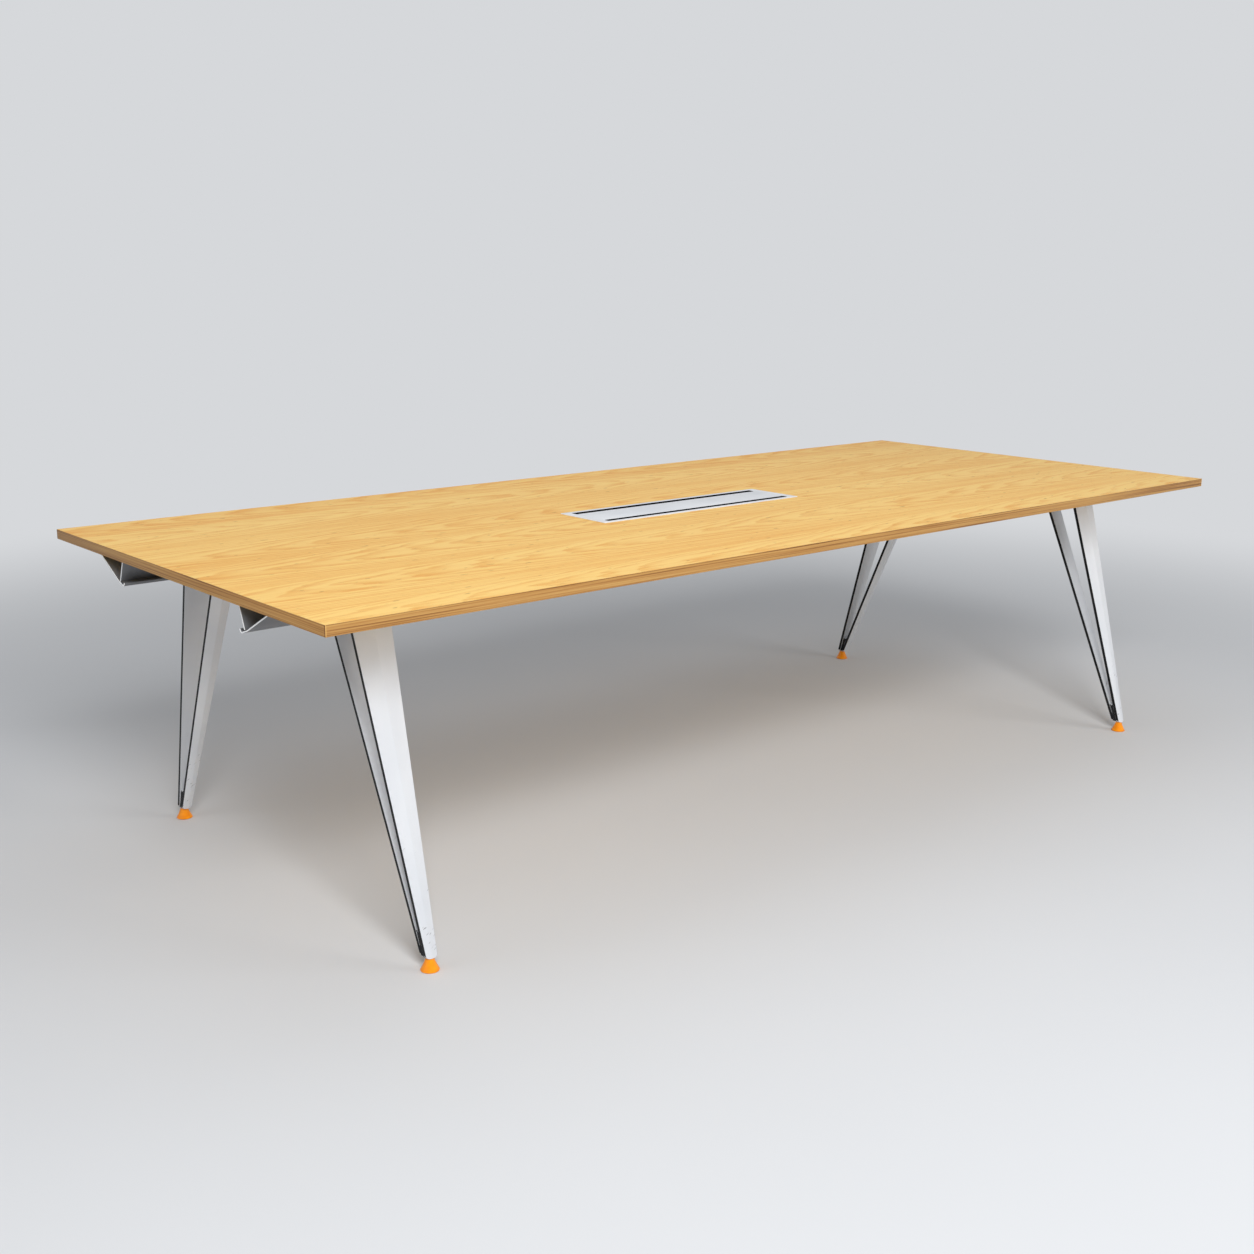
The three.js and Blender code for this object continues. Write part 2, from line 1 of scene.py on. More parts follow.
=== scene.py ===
"""Looks of a conference table: a veneered top with a cable flap, two folded beams and four forked legs.

Metres, +X along the table, +Y across it to the rear, +Z up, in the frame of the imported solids.
"""
import logging
import math
import random
from collections.abc import Callable, Sequence
from dataclasses import dataclass
from enum import Enum
from functools import cached_property

import bpy
from mathutils import Matrix, Vector


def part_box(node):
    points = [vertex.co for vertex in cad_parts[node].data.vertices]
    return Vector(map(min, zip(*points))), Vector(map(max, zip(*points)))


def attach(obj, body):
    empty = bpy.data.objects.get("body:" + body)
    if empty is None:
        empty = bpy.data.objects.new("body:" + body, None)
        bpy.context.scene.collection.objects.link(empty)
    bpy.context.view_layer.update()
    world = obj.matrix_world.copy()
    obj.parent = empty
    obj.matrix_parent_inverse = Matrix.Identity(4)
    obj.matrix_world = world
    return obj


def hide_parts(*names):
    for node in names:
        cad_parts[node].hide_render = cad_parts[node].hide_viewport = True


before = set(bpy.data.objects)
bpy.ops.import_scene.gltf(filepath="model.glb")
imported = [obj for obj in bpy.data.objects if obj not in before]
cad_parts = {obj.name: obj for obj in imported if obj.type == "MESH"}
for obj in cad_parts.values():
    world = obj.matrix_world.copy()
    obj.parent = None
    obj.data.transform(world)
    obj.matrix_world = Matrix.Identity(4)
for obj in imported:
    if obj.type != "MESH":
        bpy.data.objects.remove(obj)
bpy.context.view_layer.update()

log = logging.getLogger("table")

Number = float | int
Piece = bpy.types.Object
Material = bpy.types.Material
Colour = tuple[float, float, float, float]
Place = Sequence[float]
Test = Callable[[Vector, Vector], bool]

TINY = 1e-5
ROOT_BODY = "table"

# How much of a direction lies along an axis for it to count as along that axis
ALONG = 0.9

# Turns in degrees: from where an edge is eased on square, folded and leaning pieces, and up to where
# shading runs smoothly over an edge, on most pieces and on a leg, whose ridge stays crisp
SQUARE = 50.0
FOLDED = 60.0
LEANING = 40.0
SMOOTH = 32.0
CRISP = 17.0


class Part(Enum):
    """What a selection in edit mode is made of."""

    POINT = "VERT"
    EDGE = "EDGE"
    FACE = "FACE"


class Named(Enum):
    """A choice that the names of pieces tell."""

    @property
    def word(self) -> str:
        """Its word in those names."""
        return self.name.lower()


class Side(Named):
    """The two long sides, with the turn that takes the rear one there."""

    FRONT = math.pi
    REAR = 0.0


class End(Named):
    """The two short ends, with the sign of their X."""

    LEFT = -1
    RIGHT = 1


def near(a: float, b: float) -> bool:
    """True if two places are the same to a hundredth of a millimetre."""
    return abs(a - b) < TINY


def screen(red: int, green: int, blue: int) -> Colour:
    """A colour as a screen shows it, from 0 to 255, in the linear values that a shader takes."""
    def value(level: int) -> float:
        """One channel, from the screen's curve to a linear value."""
        share = level / 255
        return share / 12.92 if share <= 0.04045 else ((share + 0.055) / 1.055) ** 2.4

    return value(red), value(green), value(blue), 1.0


class Wire:
    """A value on its way between shader nodes, which Python's operators turn into Math nodes."""

    def __init__(self, shader: "Shader", socket: bpy.types.NodeSocket) -> None:
        """Keeps the socket that the value comes from, and the shader that it belongs to."""
        self.shader = shader
        self.socket = socket

    def __add__(self, other: "Wire | Number") -> "Wire":
        """The sum."""
        return self.shader.math("ADD", self, other)

    def __radd__(self, other: Number) -> "Wire":
        """The sum with a number in front."""
        return self.shader.math("ADD", other, self)

    def __sub__(self, other: "Wire | Number") -> "Wire":
        """The difference."""
        return self.shader.math("SUBTRACT", self, other)

    def __rsub__(self, other: Number) -> "Wire":
        """The difference from a number in front."""
        return self.shader.math("SUBTRACT", other, self)

    def __mul__(self, other: "Wire | Number") -> "Wire":
        """The product."""
        return self.shader.math("MULTIPLY", self, other)

    def __truediv__(self, other: "Wire | Number") -> "Wire":
        """The quotient."""
        return self.shader.math("DIVIDE", self, other)


class Shader:
    """One material, or the world, and the nodes that it is made of."""

    def __init__(self, name: str, of_world: bool = False) -> None:
        """Starts a material, or a world, without nodes."""
        self.owner = (bpy.data.worlds if of_world else bpy.data.materials).new(name)
        self.owner.use_nodes = True
        self.tree = self.owner.node_tree
        self.tree.nodes.clear()

    def node(self, kind: str, settings: dict | None = None, inputs: dict | None = None) -> bpy.types.Node:
        """Adds a node.

        Args:
            kind: Blender's name for the node's type, without the ShaderNode in front.
            settings: the node's own properties, set before its sockets.
            inputs: a value or a Wire for each socket, by name or number.

        Returns:
            The new node.
        """
        made = self.tree.nodes.new(f"ShaderNode{kind}")
        for key, value in (settings or {}).items():
            setattr(made, key, value)
        for key, value in (inputs or {}).items():
            if isinstance(value, Wire):
                self.tree.links.new(value.socket, made.inputs[key])
            else:
                made.inputs[key].default_value = value
        return made

    def wire(self, made: bpy.types.Node, output: int | str = 0) -> Wire:
        """An output of a node as a Wire."""
        return Wire(self, made.outputs[output])

    def math(self, operation: str, *values: Wire | Number) -> Wire:
        """A Math node on one to three values."""
        return self.wire(self.node("Math", {"operation": operation}, dict(enumerate(values))))

    @cached_property
    def axes(self) -> tuple[Wire, Wire, Wire]:
        """The place on the surface, in metres in the table's frame."""
        place = self.wire(self.node("TexCoord"), "Object")
        split = self.node("SeparateXYZ", inputs={0: place})
        return self.wire(split, 0), self.wire(split, 1), self.wire(split, 2)

    def point(self, x: Wire | Number, y: Wire | Number, z: Wire | Number = 0.0) -> Wire:
        """Three values as one vector."""
        return self.wire(self.node("CombineXYZ", inputs={0: x, 1: y, 2: z}))

    def noise(self, point: Wire, detail: float = 2.0, rough: float = 0.5) -> Wire:
        """Smooth noise of scale one at a point, about 0.5 on average."""
        inputs = {"Vector": point, "Scale": 1.0, "Detail": detail, "Roughness": rough}
        return self.wire(self.node("TexNoise", inputs=inputs))

    def mottle(self, scales: Place, detail: float = 2.0, rough: float = 0.5) -> Wire:
        """Smooth noise over the table, with a scale of its own along each axis."""
        place = self.point(*(axis * scale for axis, scale in zip(self.axes, scales)))
        return self.noise(place, detail, rough)

    def chance(self, value: Wire) -> Wire:
        """A random number from 0 to 1 for each whole value."""
        made = self.node("TexWhiteNoise", {"noise_dimensions": "1D"}, {"W": value})
        return self.wire(made, "Value")

    def step(self, value: Wire, low: float, high: float) -> Wire:
        """A smooth climb from 0 at low to 1 at high, level outside."""
        inputs = {"Value": value, "From Min": low, "From Max": high}
        return self.wire(self.node("MapRange", {"interpolation_type": "SMOOTHSTEP"}, inputs))

    def mix(self, share: Wire, first: Wire | Colour, second: Wire | Colour) -> Wire:
        """A colour between two others: the first where the share is 0, the second where it is 1."""
        settings = {"data_type": "RGBA", "clamp_factor": True}
        return self.wire(self.node("Mix", settings, {0: share, 6: first, 7: second}), 2)

    def surface(self, height: Wire | None = None, depth: float = 0.0, **inputs: Wire | Number) -> Material:
        """Ends the material with a Principled shader.

        Args:
            height: what the surface's relief follows, if it has any.
            depth: how deep the relief is, in metres.
            inputs: the shader's sockets, with _ for a space in their names.

        Returns:
            The finished material.
        """
        sockets = {key.replace("_", " "): value for key, value in inputs.items()}
        if height is not None:
            relief = {"Height": height, "Distance": depth}
            sockets["Normal"] = self.wire(self.node("Bump", inputs=relief))
        body = self.wire(self.node("BsdfPrincipled", inputs=sockets))
        self.node("OutputMaterial", inputs={"Surface": body})
        return self.owner


@dataclass(frozen=True)
class OakVeneer:
    """Crown-cut veneer in leaves side by side, with arched figure, fine fibres and a few dark flecks."""

    pale: Colour = screen(255, 212, 122)
    warm: Colour = screen(240, 172, 72)
    dark: Colour = screen(152, 84, 24)
    leaf: float = 0.24
    seam: float = -0.02
    arch_width: float = 0.05
    arch_length: float = 0.15

    def material(self) -> Material:
        """The veneer's shader, with its grain along X."""
        s = Shader("oak_veneer")
        x, y, _ = s.axes
        row = (y - self.seam) / self.leaf
        leaf = s.math("FLOOR", row)
        drift = row - leaf
        luck = s.chance(leaf)
        other = s.chance(leaf + 17.3)
        across = (drift - 0.5 + (luck - 0.5) * 0.4) * self.leaf
        sway = s.noise(s.point(x * 1.3, y * 5.0, leaf * 3.7), 3.0) - 0.5
        ripple = s.noise(s.point(x * 5.0, y * 38.0, leaf * 1.9), 3.0) - 0.5
        bow = across / self.arch_width + sway * 1.1
        turn = s.math("SIGN", other - 0.5)
        rings = bow * bow + turn * (x + other * 9.0) / self.arch_length + sway * 2.6 + ripple * 1.5
        ring = s.math("FRACT", rings)
        late = s.step(ring, 0.3, 0.9) * (1.0 - s.step(ring, 0.92, 1.0))
        fibre = s.noise(s.point(x * 9.0, y * 420.0, leaf), 3.0, 0.65)
        streak = s.noise(s.point(x * 1.6, y * 62.0, leaf * 2.3), 3.0, 0.6)
        cloud = s.noise(s.point(x * 1.1, y * 6.5, 4.0), 2.0)
        figure = late * (0.15 + streak * 0.8) + (fibre - 0.5) * 0.9 + (streak - 0.5) * 1.3
        shade = figure + (cloud - 0.5) * 0.7 + (0.5 - drift) * 0.24 + (luck - 0.5) * 0.2
        base = s.mix(shade + 0.2, self.pale, self.warm)
        pores = s.step(s.noise(s.point(x * 30.0, y * 900.0, 2.0), 2.0), 0.58, 0.74)
        flecks = s.step(s.noise(s.point(x * 30.0, y * 120.0, 7.0), 1.0), 0.7, 0.78)
        marks = pores * (0.12 + late * 0.45) + flecks * 0.6
        colour = s.mix(marks, base, self.dark)
        gloss = 0.46 + (fibre - 0.5) * 0.16 + marks * 0.1
        return s.surface(fibre - marks, 0.00006, Base_Color=colour, Roughness=gloss, IOR=1.3)


@dataclass(frozen=True)
class OakLipping:
    """Solid edge wood: straight grain lines, a glue line under the veneer and a mark at each mitre."""

    along: int
    contrast: float
    pale: Colour = screen(186, 143, 82)
    warm: Colour = screen(162, 113, 56)
    dark: Colour = screen(92, 56, 24)
    bright: Colour = screen(216, 170, 102)
    glue_line: float = 0.0011
    corner: float = 0.0034

    def material(self) -> Material:
        """The edge's shader, with its grain along X or Y."""
        s = Shader(f"oak_lipping_{'xy'[self.along]}")
        place = s.axes
        run, across, up = place[self.along], place[1 - self.along], place[2]
        wave = s.noise(s.point(run * 1.7, up * 30.0, across * 3.0), 2.0) - 0.5
        lines = s.noise(s.point(run * 1.9, (up + wave * 0.004) * 300.0, across * 40.0), 2.0, 0.6)
        fibre = s.noise(s.point(run * 26.0, up * 1900.0, across * 90.0), 2.0, 0.6)
        base = s.mix(s.step(lines, 0.36, 0.62) + (fibre - 0.5) * 0.6, self.pale, self.warm)
        seams = s.step(lines, 0.54, 0.64) * self.contrast
        _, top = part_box("tabletop_board")
        under = 1.0 - s.step(s.math("ABSOLUTE", up - (top.z - self.glue_line)), 0.0003, 0.0011)
        grooves = seams + under * 0.4 + s.step(fibre, 0.62, 0.75) * 0.15
        _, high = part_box("lipping_front") if self.along == 0 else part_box("lipping_left")
        reach = high[self.along]
        tip = s.step(s.math("ABSOLUTE", run), reach - self.corner, reach - self.corner / 2)
        edge = self.bright if self.along == 0 else self.dark
        colour = s.mix(tip * 0.7, s.mix(grooves, base, self.dark), edge)
        return s.surface(lines * 0.6 + fibre * 0.4, 0.00008, Base_Color=colour, Roughness=0.5 + fibre * 0.1)


@dataclass(frozen=True)
class SatinSilver:
    """Satin silver on the faces of the cast legs: even, with a faint cloud, fine fleck and a few scuffs."""

    silver: Colour = screen(224, 226, 229)
    cool: Colour = screen(211, 214, 219)
    scuff: Colour = screen(100, 100, 100)
    scuff_height: float = 0.3

    def material(self) -> Material:
        """The shader of the legs' faces."""
        s = Shader("satin_silver")
        x, y, z = s.axes
        cloud = s.mottle((9, 9, 3), 3.0)
        fleck = s.mottle((1500, 1500, 1500), 1.0)
        base = s.mix(s.step(cloud, 0.3, 0.7) * 0.8 + (fleck - 0.5) * 0.5, self.silver, self.cool)
        low = 1.0 - s.step(z, self.scuff_height * 0.4, self.scuff_height)
        rub = s.step(s.noise(s.point(x * 70.0, y * 40.0, z * 300.0 - x * 200.0), 1.0), 0.7, 0.76)
        worn = rub * low * 0.8
        colour = s.mix(worn, base, self.scuff)
        gloss = 0.36 + (cloud - 0.5) * 0.1 + (fleck - 0.5) * 0.1 + worn * 0.2
        return s.surface(fleck, 0.00001, Base_Color=colour, Metallic=0.2 - worn * 0.2, Roughness=gloss)


@dataclass(frozen=True)
class DarkSide:
    """The legs' narrow sides, much darker than their faces: near-black painted shade and painted reflection.
    """

    # Near-black tones of the painted shade and reflection, mottled
    dark: Colour = screen(26, 27, 29)
    lighter: Colour = screen(44, 45, 48)

    def material(self) -> Material:
        """The shader of the legs' sides, which paints their shade and dark reflection."""
        s = Shader("dark_side")
        draw = s.mottle((90, 25, 9))
        colour = s.mix(s.step(draw, 0.35, 0.75), self.dark, self.lighter)
        return s.surface(Base_Color=colour, Metallic=0.1, Roughness=0.42 + draw * 0.14, IOR=1.2)


@dataclass(frozen=True)
class BrushedSilver:
    """Anodised aluminium of the cable flap, with hair lines along X."""

    silver: Colour = screen(240, 242, 245)
    cool: Colour = screen(220, 224, 230)

    def material(self) -> Material:
        """The flap's shader."""
        s = Shader("brushed_silver")
        hair = s.mottle((12, 2600, 2600), 2.0, 0.7)
        cloud = s.mottle((7, 16, 16))
        colour = s.mix((hair - 0.5) * 0.9 + s.step(cloud, 0.35, 0.75) * 0.6, self.silver, self.cool)
        return s.surface(hair, 0.00001, Base_Color=colour, Metallic=0.25, Roughness=0.34 + hair * 0.16)


@dataclass(frozen=True)
class ShadedGreySheet:
    """The beams' folded sheet, its colour darkened as painted shade under the board, with bright ends that
    are partly raw metal and partly a painted highlight.
    """

    # Both tones are darkened as painted shade under the board
    grey: Colour = screen(116, 118, 122)
    deep: Colour = screen(101, 103, 107)
    # Near-white ends: raw metal in part, painted highlight in part
    cut: Colour = screen(246, 247, 248)
    cut_depth: float = 0.0012

    def material(self) -> Material:
        """The beams' shader, with painted shade in its colour and a painted highlight at its ends."""
        s = Shader("grey_sheet")
        _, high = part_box("beam_outer_sheet_rear")
        cloud = s.mottle((4, 14, 14), 3.0)
        grain = s.mottle((900, 900, 900), 1.0)
        base = s.mix(s.step(cloud, 0.3, 0.72) + (grain - 0.5) * 0.4, self.grey, self.deep)
        # A band at each end gets the raw metal and painted highlight
        ends = s.step(s.math("ABSOLUTE", s.axes[0]), high.x - self.cut_depth, high.x - self.cut_depth / 2)
        colour = s.mix(ends, base, self.cut)
        gloss = 0.42 + (grain - 0.5) * 0.16 - ends * 0.08
        return s.surface(grain, 0.00002, Base_Color=colour, Metallic=0.2 - ends * 0.1, Roughness=gloss)


@dataclass(frozen=True)
class ZincSteel:
    """Zinc plate on screws, bolts, pins and stems."""

    bright: Colour = screen(190, 192, 192)
    dull: Colour = screen(150, 150, 142)

    def material(self) -> Material:
        """The fasteners' shader."""
        s = Shader("zinc_steel")
        bloom = s.mottle((260, 260, 260), 3.0, 0.6)
        colour = s.mix(s.step(bloom, 0.35, 0.7), self.bright, self.dull)
        return s.surface(bloom, 0.00002, Base_Color=colour, Metallic=0.9, Roughness=0.28 + bloom * 0.24)


@dataclass(frozen=True)
class BlackBristle:
    """Black nylon bristle, also used as black painted shade on the flap's slot walls and the lid's front lip.
    """

    black: Colour = screen(10, 10, 11)
    worn: Colour = screen(26, 26, 28)

    def material(self) -> Material:
        """The brush strips' shader, which also paints the shade in the flap's slots."""
        s = Shader("black_bristle")
        dust = s.mottle((700, 60, 300))
        colour = s.mix(s.step(dust, 0.45, 0.75), self.black, self.worn)
        return s.surface(Base_Color=colour, Roughness=0.7 + dust * 0.2, IOR=1.06)


@dataclass(frozen=True)
class OrangePlastic:
    """Moulded orange plastic of the glides, a little dusty at the floor."""

    orange: Colour = screen(252, 154, 8)
    deep: Colour = screen(238, 132, 2)
    dust: Colour = screen(170, 116, 52)
    dust_height: float = 0.003

    def material(self) -> Material:
        """The glides' shader."""
        s = Shader("orange_plastic")
        flow = s.mottle((60, 60, 120))
        grain = s.mottle((1200, 1200, 1200), 1.0)
        base = s.mix(s.step(flow, 0.3, 0.75) * 0.8, self.orange, self.deep)
        low = 1.0 - s.step(s.axes[2], 0.0, self.dust_height)
        grime = low * s.step(flow, 0.4, 0.65) * 0.4
        colour = s.mix(grime, base, self.dust)
        gloss = 0.34 + grime * 0.4 + (grain - 0.5) * 0.12
        return s.surface(grain, 0.00002, Base_Color=colour, Roughness=gloss)


class Finishes:
    """Every finish of the table, made once and shared."""

    def __init__(self) -> None:
        """Makes the materials."""
        self.veneer = OakVeneer().material()
        self.lipping = [OakLipping(0, 0.5).material(), OakLipping(1, 0.35).material()]
        self.silver = SatinSilver().material()
        # The legs' sides: painted shade and painted reflection
        self.side = DarkSide().material()
        self.flap = BrushedSilver().material()
        self.sheet = ShadedGreySheet().material()
        self.zinc = ZincSteel().material()
        # Black bristle, also the painted shade in the flap's slots
        self.bristle = BlackBristle().material()
        self.orange = OrangePlastic().material()


class Bench:
    """The modelling tools, used as by hand: a primitive, edit mode, modifiers."""

    @staticmethod
    def clear() -> None:
        """Goes to object mode with nothing selected."""
        if bpy.context.mode != "OBJECT":
            bpy.ops.object.mode_set(mode="OBJECT")
        bpy.ops.object.select_all(action="DESELECT")

    @staticmethod
    def hold(piece: Piece) -> None:
        """Makes one piece the only one selected."""
        Bench.clear()
        piece.select_set(True)
        bpy.context.view_layer.objects.active = piece

    @staticmethod
    def named(name: str) -> Piece:
        """The primitive just added, named and with its place in its mesh."""
        piece = bpy.context.active_object
        piece.name = name
        piece.data.name = name
        bpy.ops.object.transform_apply(location=True, rotation=True, scale=True)
        return piece

    @staticmethod
    def box(name: str, low: Place, high: Place) -> Piece:
        """A box between two corners."""
        low, high = Vector(low), Vector(high)
        Bench.clear()
        bpy.ops.mesh.primitive_cube_add(size=1, location=(low + high) / 2, scale=high - low)
        return Bench.named(name)

    @staticmethod
    def rod(name: str, radius: float, start: Place, end: Place, sides: int) -> Piece:
        """A rod from one point to another."""
        start, end = Vector(start), Vector(end)
        run = end - start
        turn = run.to_track_quat("Z", "Y").to_euler()
        Bench.clear()
        bpy.ops.mesh.primitive_cylinder_add(
            vertices=sides, radius=radius, depth=run.length, location=(start + end) / 2, rotation=turn,
        )
        return Bench.named(name)

    @staticmethod
    def pick(piece: Piece, part: Part, test: Test) -> None:
        """Selects parts of a piece in edit mode.

        Args:
            piece: the piece to work on.
            part: whether points, edges or faces are selected.
            test: takes a part's middle and its normal, or an edge's direction, and says if it is selected.
        """
        Bench.hold(piece)
        bpy.ops.object.mode_set(mode="EDIT")
        bpy.ops.mesh.select_mode(type=part.value)
        bpy.ops.mesh.select_all(action="DESELECT")
        bpy.ops.object.mode_set(mode="OBJECT")
        mesh = piece.data
        if part is Part.FACE:
            for face in mesh.polygons:
                face.select = test(face.center, face.normal)
        elif part is Part.EDGE:
            for edge in mesh.edges:
                a, b = (mesh.vertices[k].co for k in edge.vertices)
                edge.select = test((a + b) / 2, (b - a).normalized())
        else:
            for corner in mesh.vertices:
                corner.select = test(corner.co, corner.normal)
        bpy.ops.object.mode_set(mode="EDIT")

    @staticmethod
    def whole(piece: Piece) -> None:
        """Selects all of a piece in edit mode."""
        Bench.hold(piece)
        bpy.ops.object.mode_set(mode="EDIT")
        bpy.ops.mesh.select_all(action="SELECT")

    @staticmethod
    def move(step: Place) -> None:
        """Moves what is selected."""
        bpy.ops.transform.translate(value=step)

    @staticmethod
    def resize(factors: Place, centre: Place) -> None:
        """Scales what is selected about a point."""
        bpy.ops.transform.resize(value=factors, center_override=centre)

    @staticmethod
    def extrude(step: Place) -> None:
        """Draws out what is selected."""
        bpy.ops.mesh.extrude_region_move(TRANSFORM_OT_translate={"value": step})

    @staticmethod
    def round_edges(width: float, segments: int) -> None:
        """Rounds the selected edges."""
        bpy.ops.mesh.bevel(offset=width, segments=segments, affect="EDGES")

    @staticmethod
    def slice(piece: Piece, point: Place, normal: Place, cut_off: bool = False) -> None:
        """Cuts a piece along a plane, and takes off what is on the normal's side if cut_off is true."""
        Bench.whole(piece)
        bpy.ops.mesh.bisect(plane_co=point, plane_no=normal, use_fill=cut_off, clear_outer=cut_off)
        Bench.clear()

    @staticmethod
    def outwards(piece: Piece) -> None:
        """Merges doubles and turns every face outwards."""
        Bench.whole(piece)
        bpy.ops.mesh.remove_doubles(threshold=TINY / 10)
        bpy.ops.mesh.normals_make_consistent(inside=False)
        Bench.clear()

    @staticmethod
    def modify(piece: Piece, kind: str, **settings: object) -> None:
        """Adds a modifier and applies it."""
        Bench.hold(piece)
        made = piece.modifiers.new(kind.lower(), kind)
        for key, value in settings.items():
            setattr(made, key, value)
        bpy.ops.object.modifier_apply(modifier=made.name)

    @staticmethod
    def ease(piece: Piece, width: float, angle: float = SQUARE, segments: int = 3) -> None:
        """Takes the sharpness off every edge that turns by more than an angle in degrees."""
        Bench.modify(piece, "BEVEL", width=width, segments=segments, limit_method="ANGLE",
                     angle_limit=math.radians(angle), use_clamp_overlap=True)

    @staticmethod
    def combine(piece: Piece, tool: Piece, operation: str) -> None:
        """Joins a second piece to the first or cuts it out, and removes it."""
        Bench.modify(piece, "BOOLEAN", object=tool, operation=operation, solver="EXACT")
        Bench.scrap(tool)

    @staticmethod
    def turned(name: str, profile: Sequence[tuple[float, float]], sides: int) -> Piece:
        """A turned piece about Z.

        Args:
            name: the piece's name.
            profile: radius and height of each ring, from the bottom up.
            sides: how many sides each ring has.

        Returns:
            The piece, closed at both ends.
        """
        radius, height = profile[0]
        Bench.clear()
        bpy.ops.mesh.primitive_circle_add(
            vertices=sides, radius=radius, fill_type="NGON", location=(0, 0, height),
        )
        piece = Bench.named(name)
        Bench.whole(piece)
        for wide, high in profile[1:]:
            Bench.extrude((0, 0, high - height))
            Bench.resize((wide / radius, wide / radius, 1), (0, 0, high))
            radius, height = wide, high
        Bench.outwards(piece)
        return piece

    @staticmethod
    def folded(name: str, path: Sequence[Place], ends: Place, thickness: float, bend: float) -> Piece:
        """A folded sheet that runs along X.

        Args:
            name: the piece's name.
            path: the Y and Z of the sheet's mid-plane at each fold. Its first stretch is level.
            ends: the least and the greatest X.
            thickness: how thick the sheet is.
            bend: how far from a fold its rounding starts.

        Returns:
            The piece, with its thickness and its rounded folds.
        """
        (y0, z0), (y1, _) = path[0], path[1]
        Bench.clear()
        bpy.ops.mesh.primitive_plane_add(size=1, location=(sum(ends) / 2, (y0 + y1) / 2, z0))
        bpy.context.active_object.scale = (ends[1] - ends[0], abs(y1 - y0), 1)
        piece = Bench.named(name)
        Bench.pick(piece, Part.EDGE, lambda p, d: abs(d.x) > ALONG and near(p.y, y1))
        for (a, b), (c, d) in zip(path[1:], path[2:]):
            Bench.extrude((0, c - a, d - b))
        inner = path[1:-1]
        Bench.pick(piece, Part.EDGE, lambda p, d: abs(d.x) > ALONG and any(
            near(p.y, y) and near(p.z, z) for y, z in inner
        ))
        Bench.round_edges(bend, 5)
        Bench.outwards(piece)
        Bench.modify(piece, "SOLIDIFY", thickness=thickness, offset=0, use_even_offset=True)
        return piece

    @staticmethod
    def placed(piece: Piece, name: str, place: Matrix) -> Piece:
        """A copy of a piece with a mesh of its own, moved to its place."""
        twin = piece.copy()
        twin.data = piece.data.copy()
        twin.name = name
        twin.data.name = name
        twin.data.transform(place)
        bpy.context.scene.collection.objects.link(twin)
        return twin

    @staticmethod
    def join(pieces: Sequence[Piece]) -> Piece:
        """Makes several pieces one object, the first of them."""
        Bench.clear()
        for piece in pieces:
            piece.select_set(True)
        bpy.context.view_layer.objects.active = pieces[0]
        bpy.ops.object.join()
        return pieces[0]

    @staticmethod
    def scrap(piece: Piece) -> None:
        """Removes a tool, or a pattern that copies were made from."""
        mesh = piece.data
        bpy.data.objects.remove(piece)
        bpy.data.meshes.remove(mesh)

    @staticmethod
    def paint(piece: Piece, test: Test) -> None:
        """Gives the faces that pass a test the piece's second finish, and all others its first."""
        for face in piece.data.polygons:
            face.material_index = int(test(face.center, face.normal))

    @staticmethod
    def smooth(piece: Piece, angle: float) -> None:
        """Shades a piece smoothly across edges that turn by less than an angle in degrees."""
        Bench.hold(piece)
        bpy.ops.object.shade_smooth_by_angle(angle=math.radians(angle))
        Bench.clear()


def hand_over(
    piece: Piece, node: str, slot: str, *finish: Material,
    body: str = ROOT_BODY, angle: float = SMOOTH,
) -> None:
    """Dresses a finished piece and puts it in its node's place.

    Args:
        piece: the finished piece.
        node: the CAD node that it stands for.
        slot: the name of a material slot; not used.
        finish: its materials, in the order of its material slots.
        body: the body that it rides on.
        angle: edges that turn by less than this, in degrees, are shaded smoothly.
    """
    Bench.smooth(piece, angle)
    piece.data.materials.clear()
    for material in finish:
        piece.data.materials.append(material)
    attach(piece, body)
    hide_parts(node)
    log.info("%s: %d faces for %s", piece.name, len(piece.data.polygons), node)


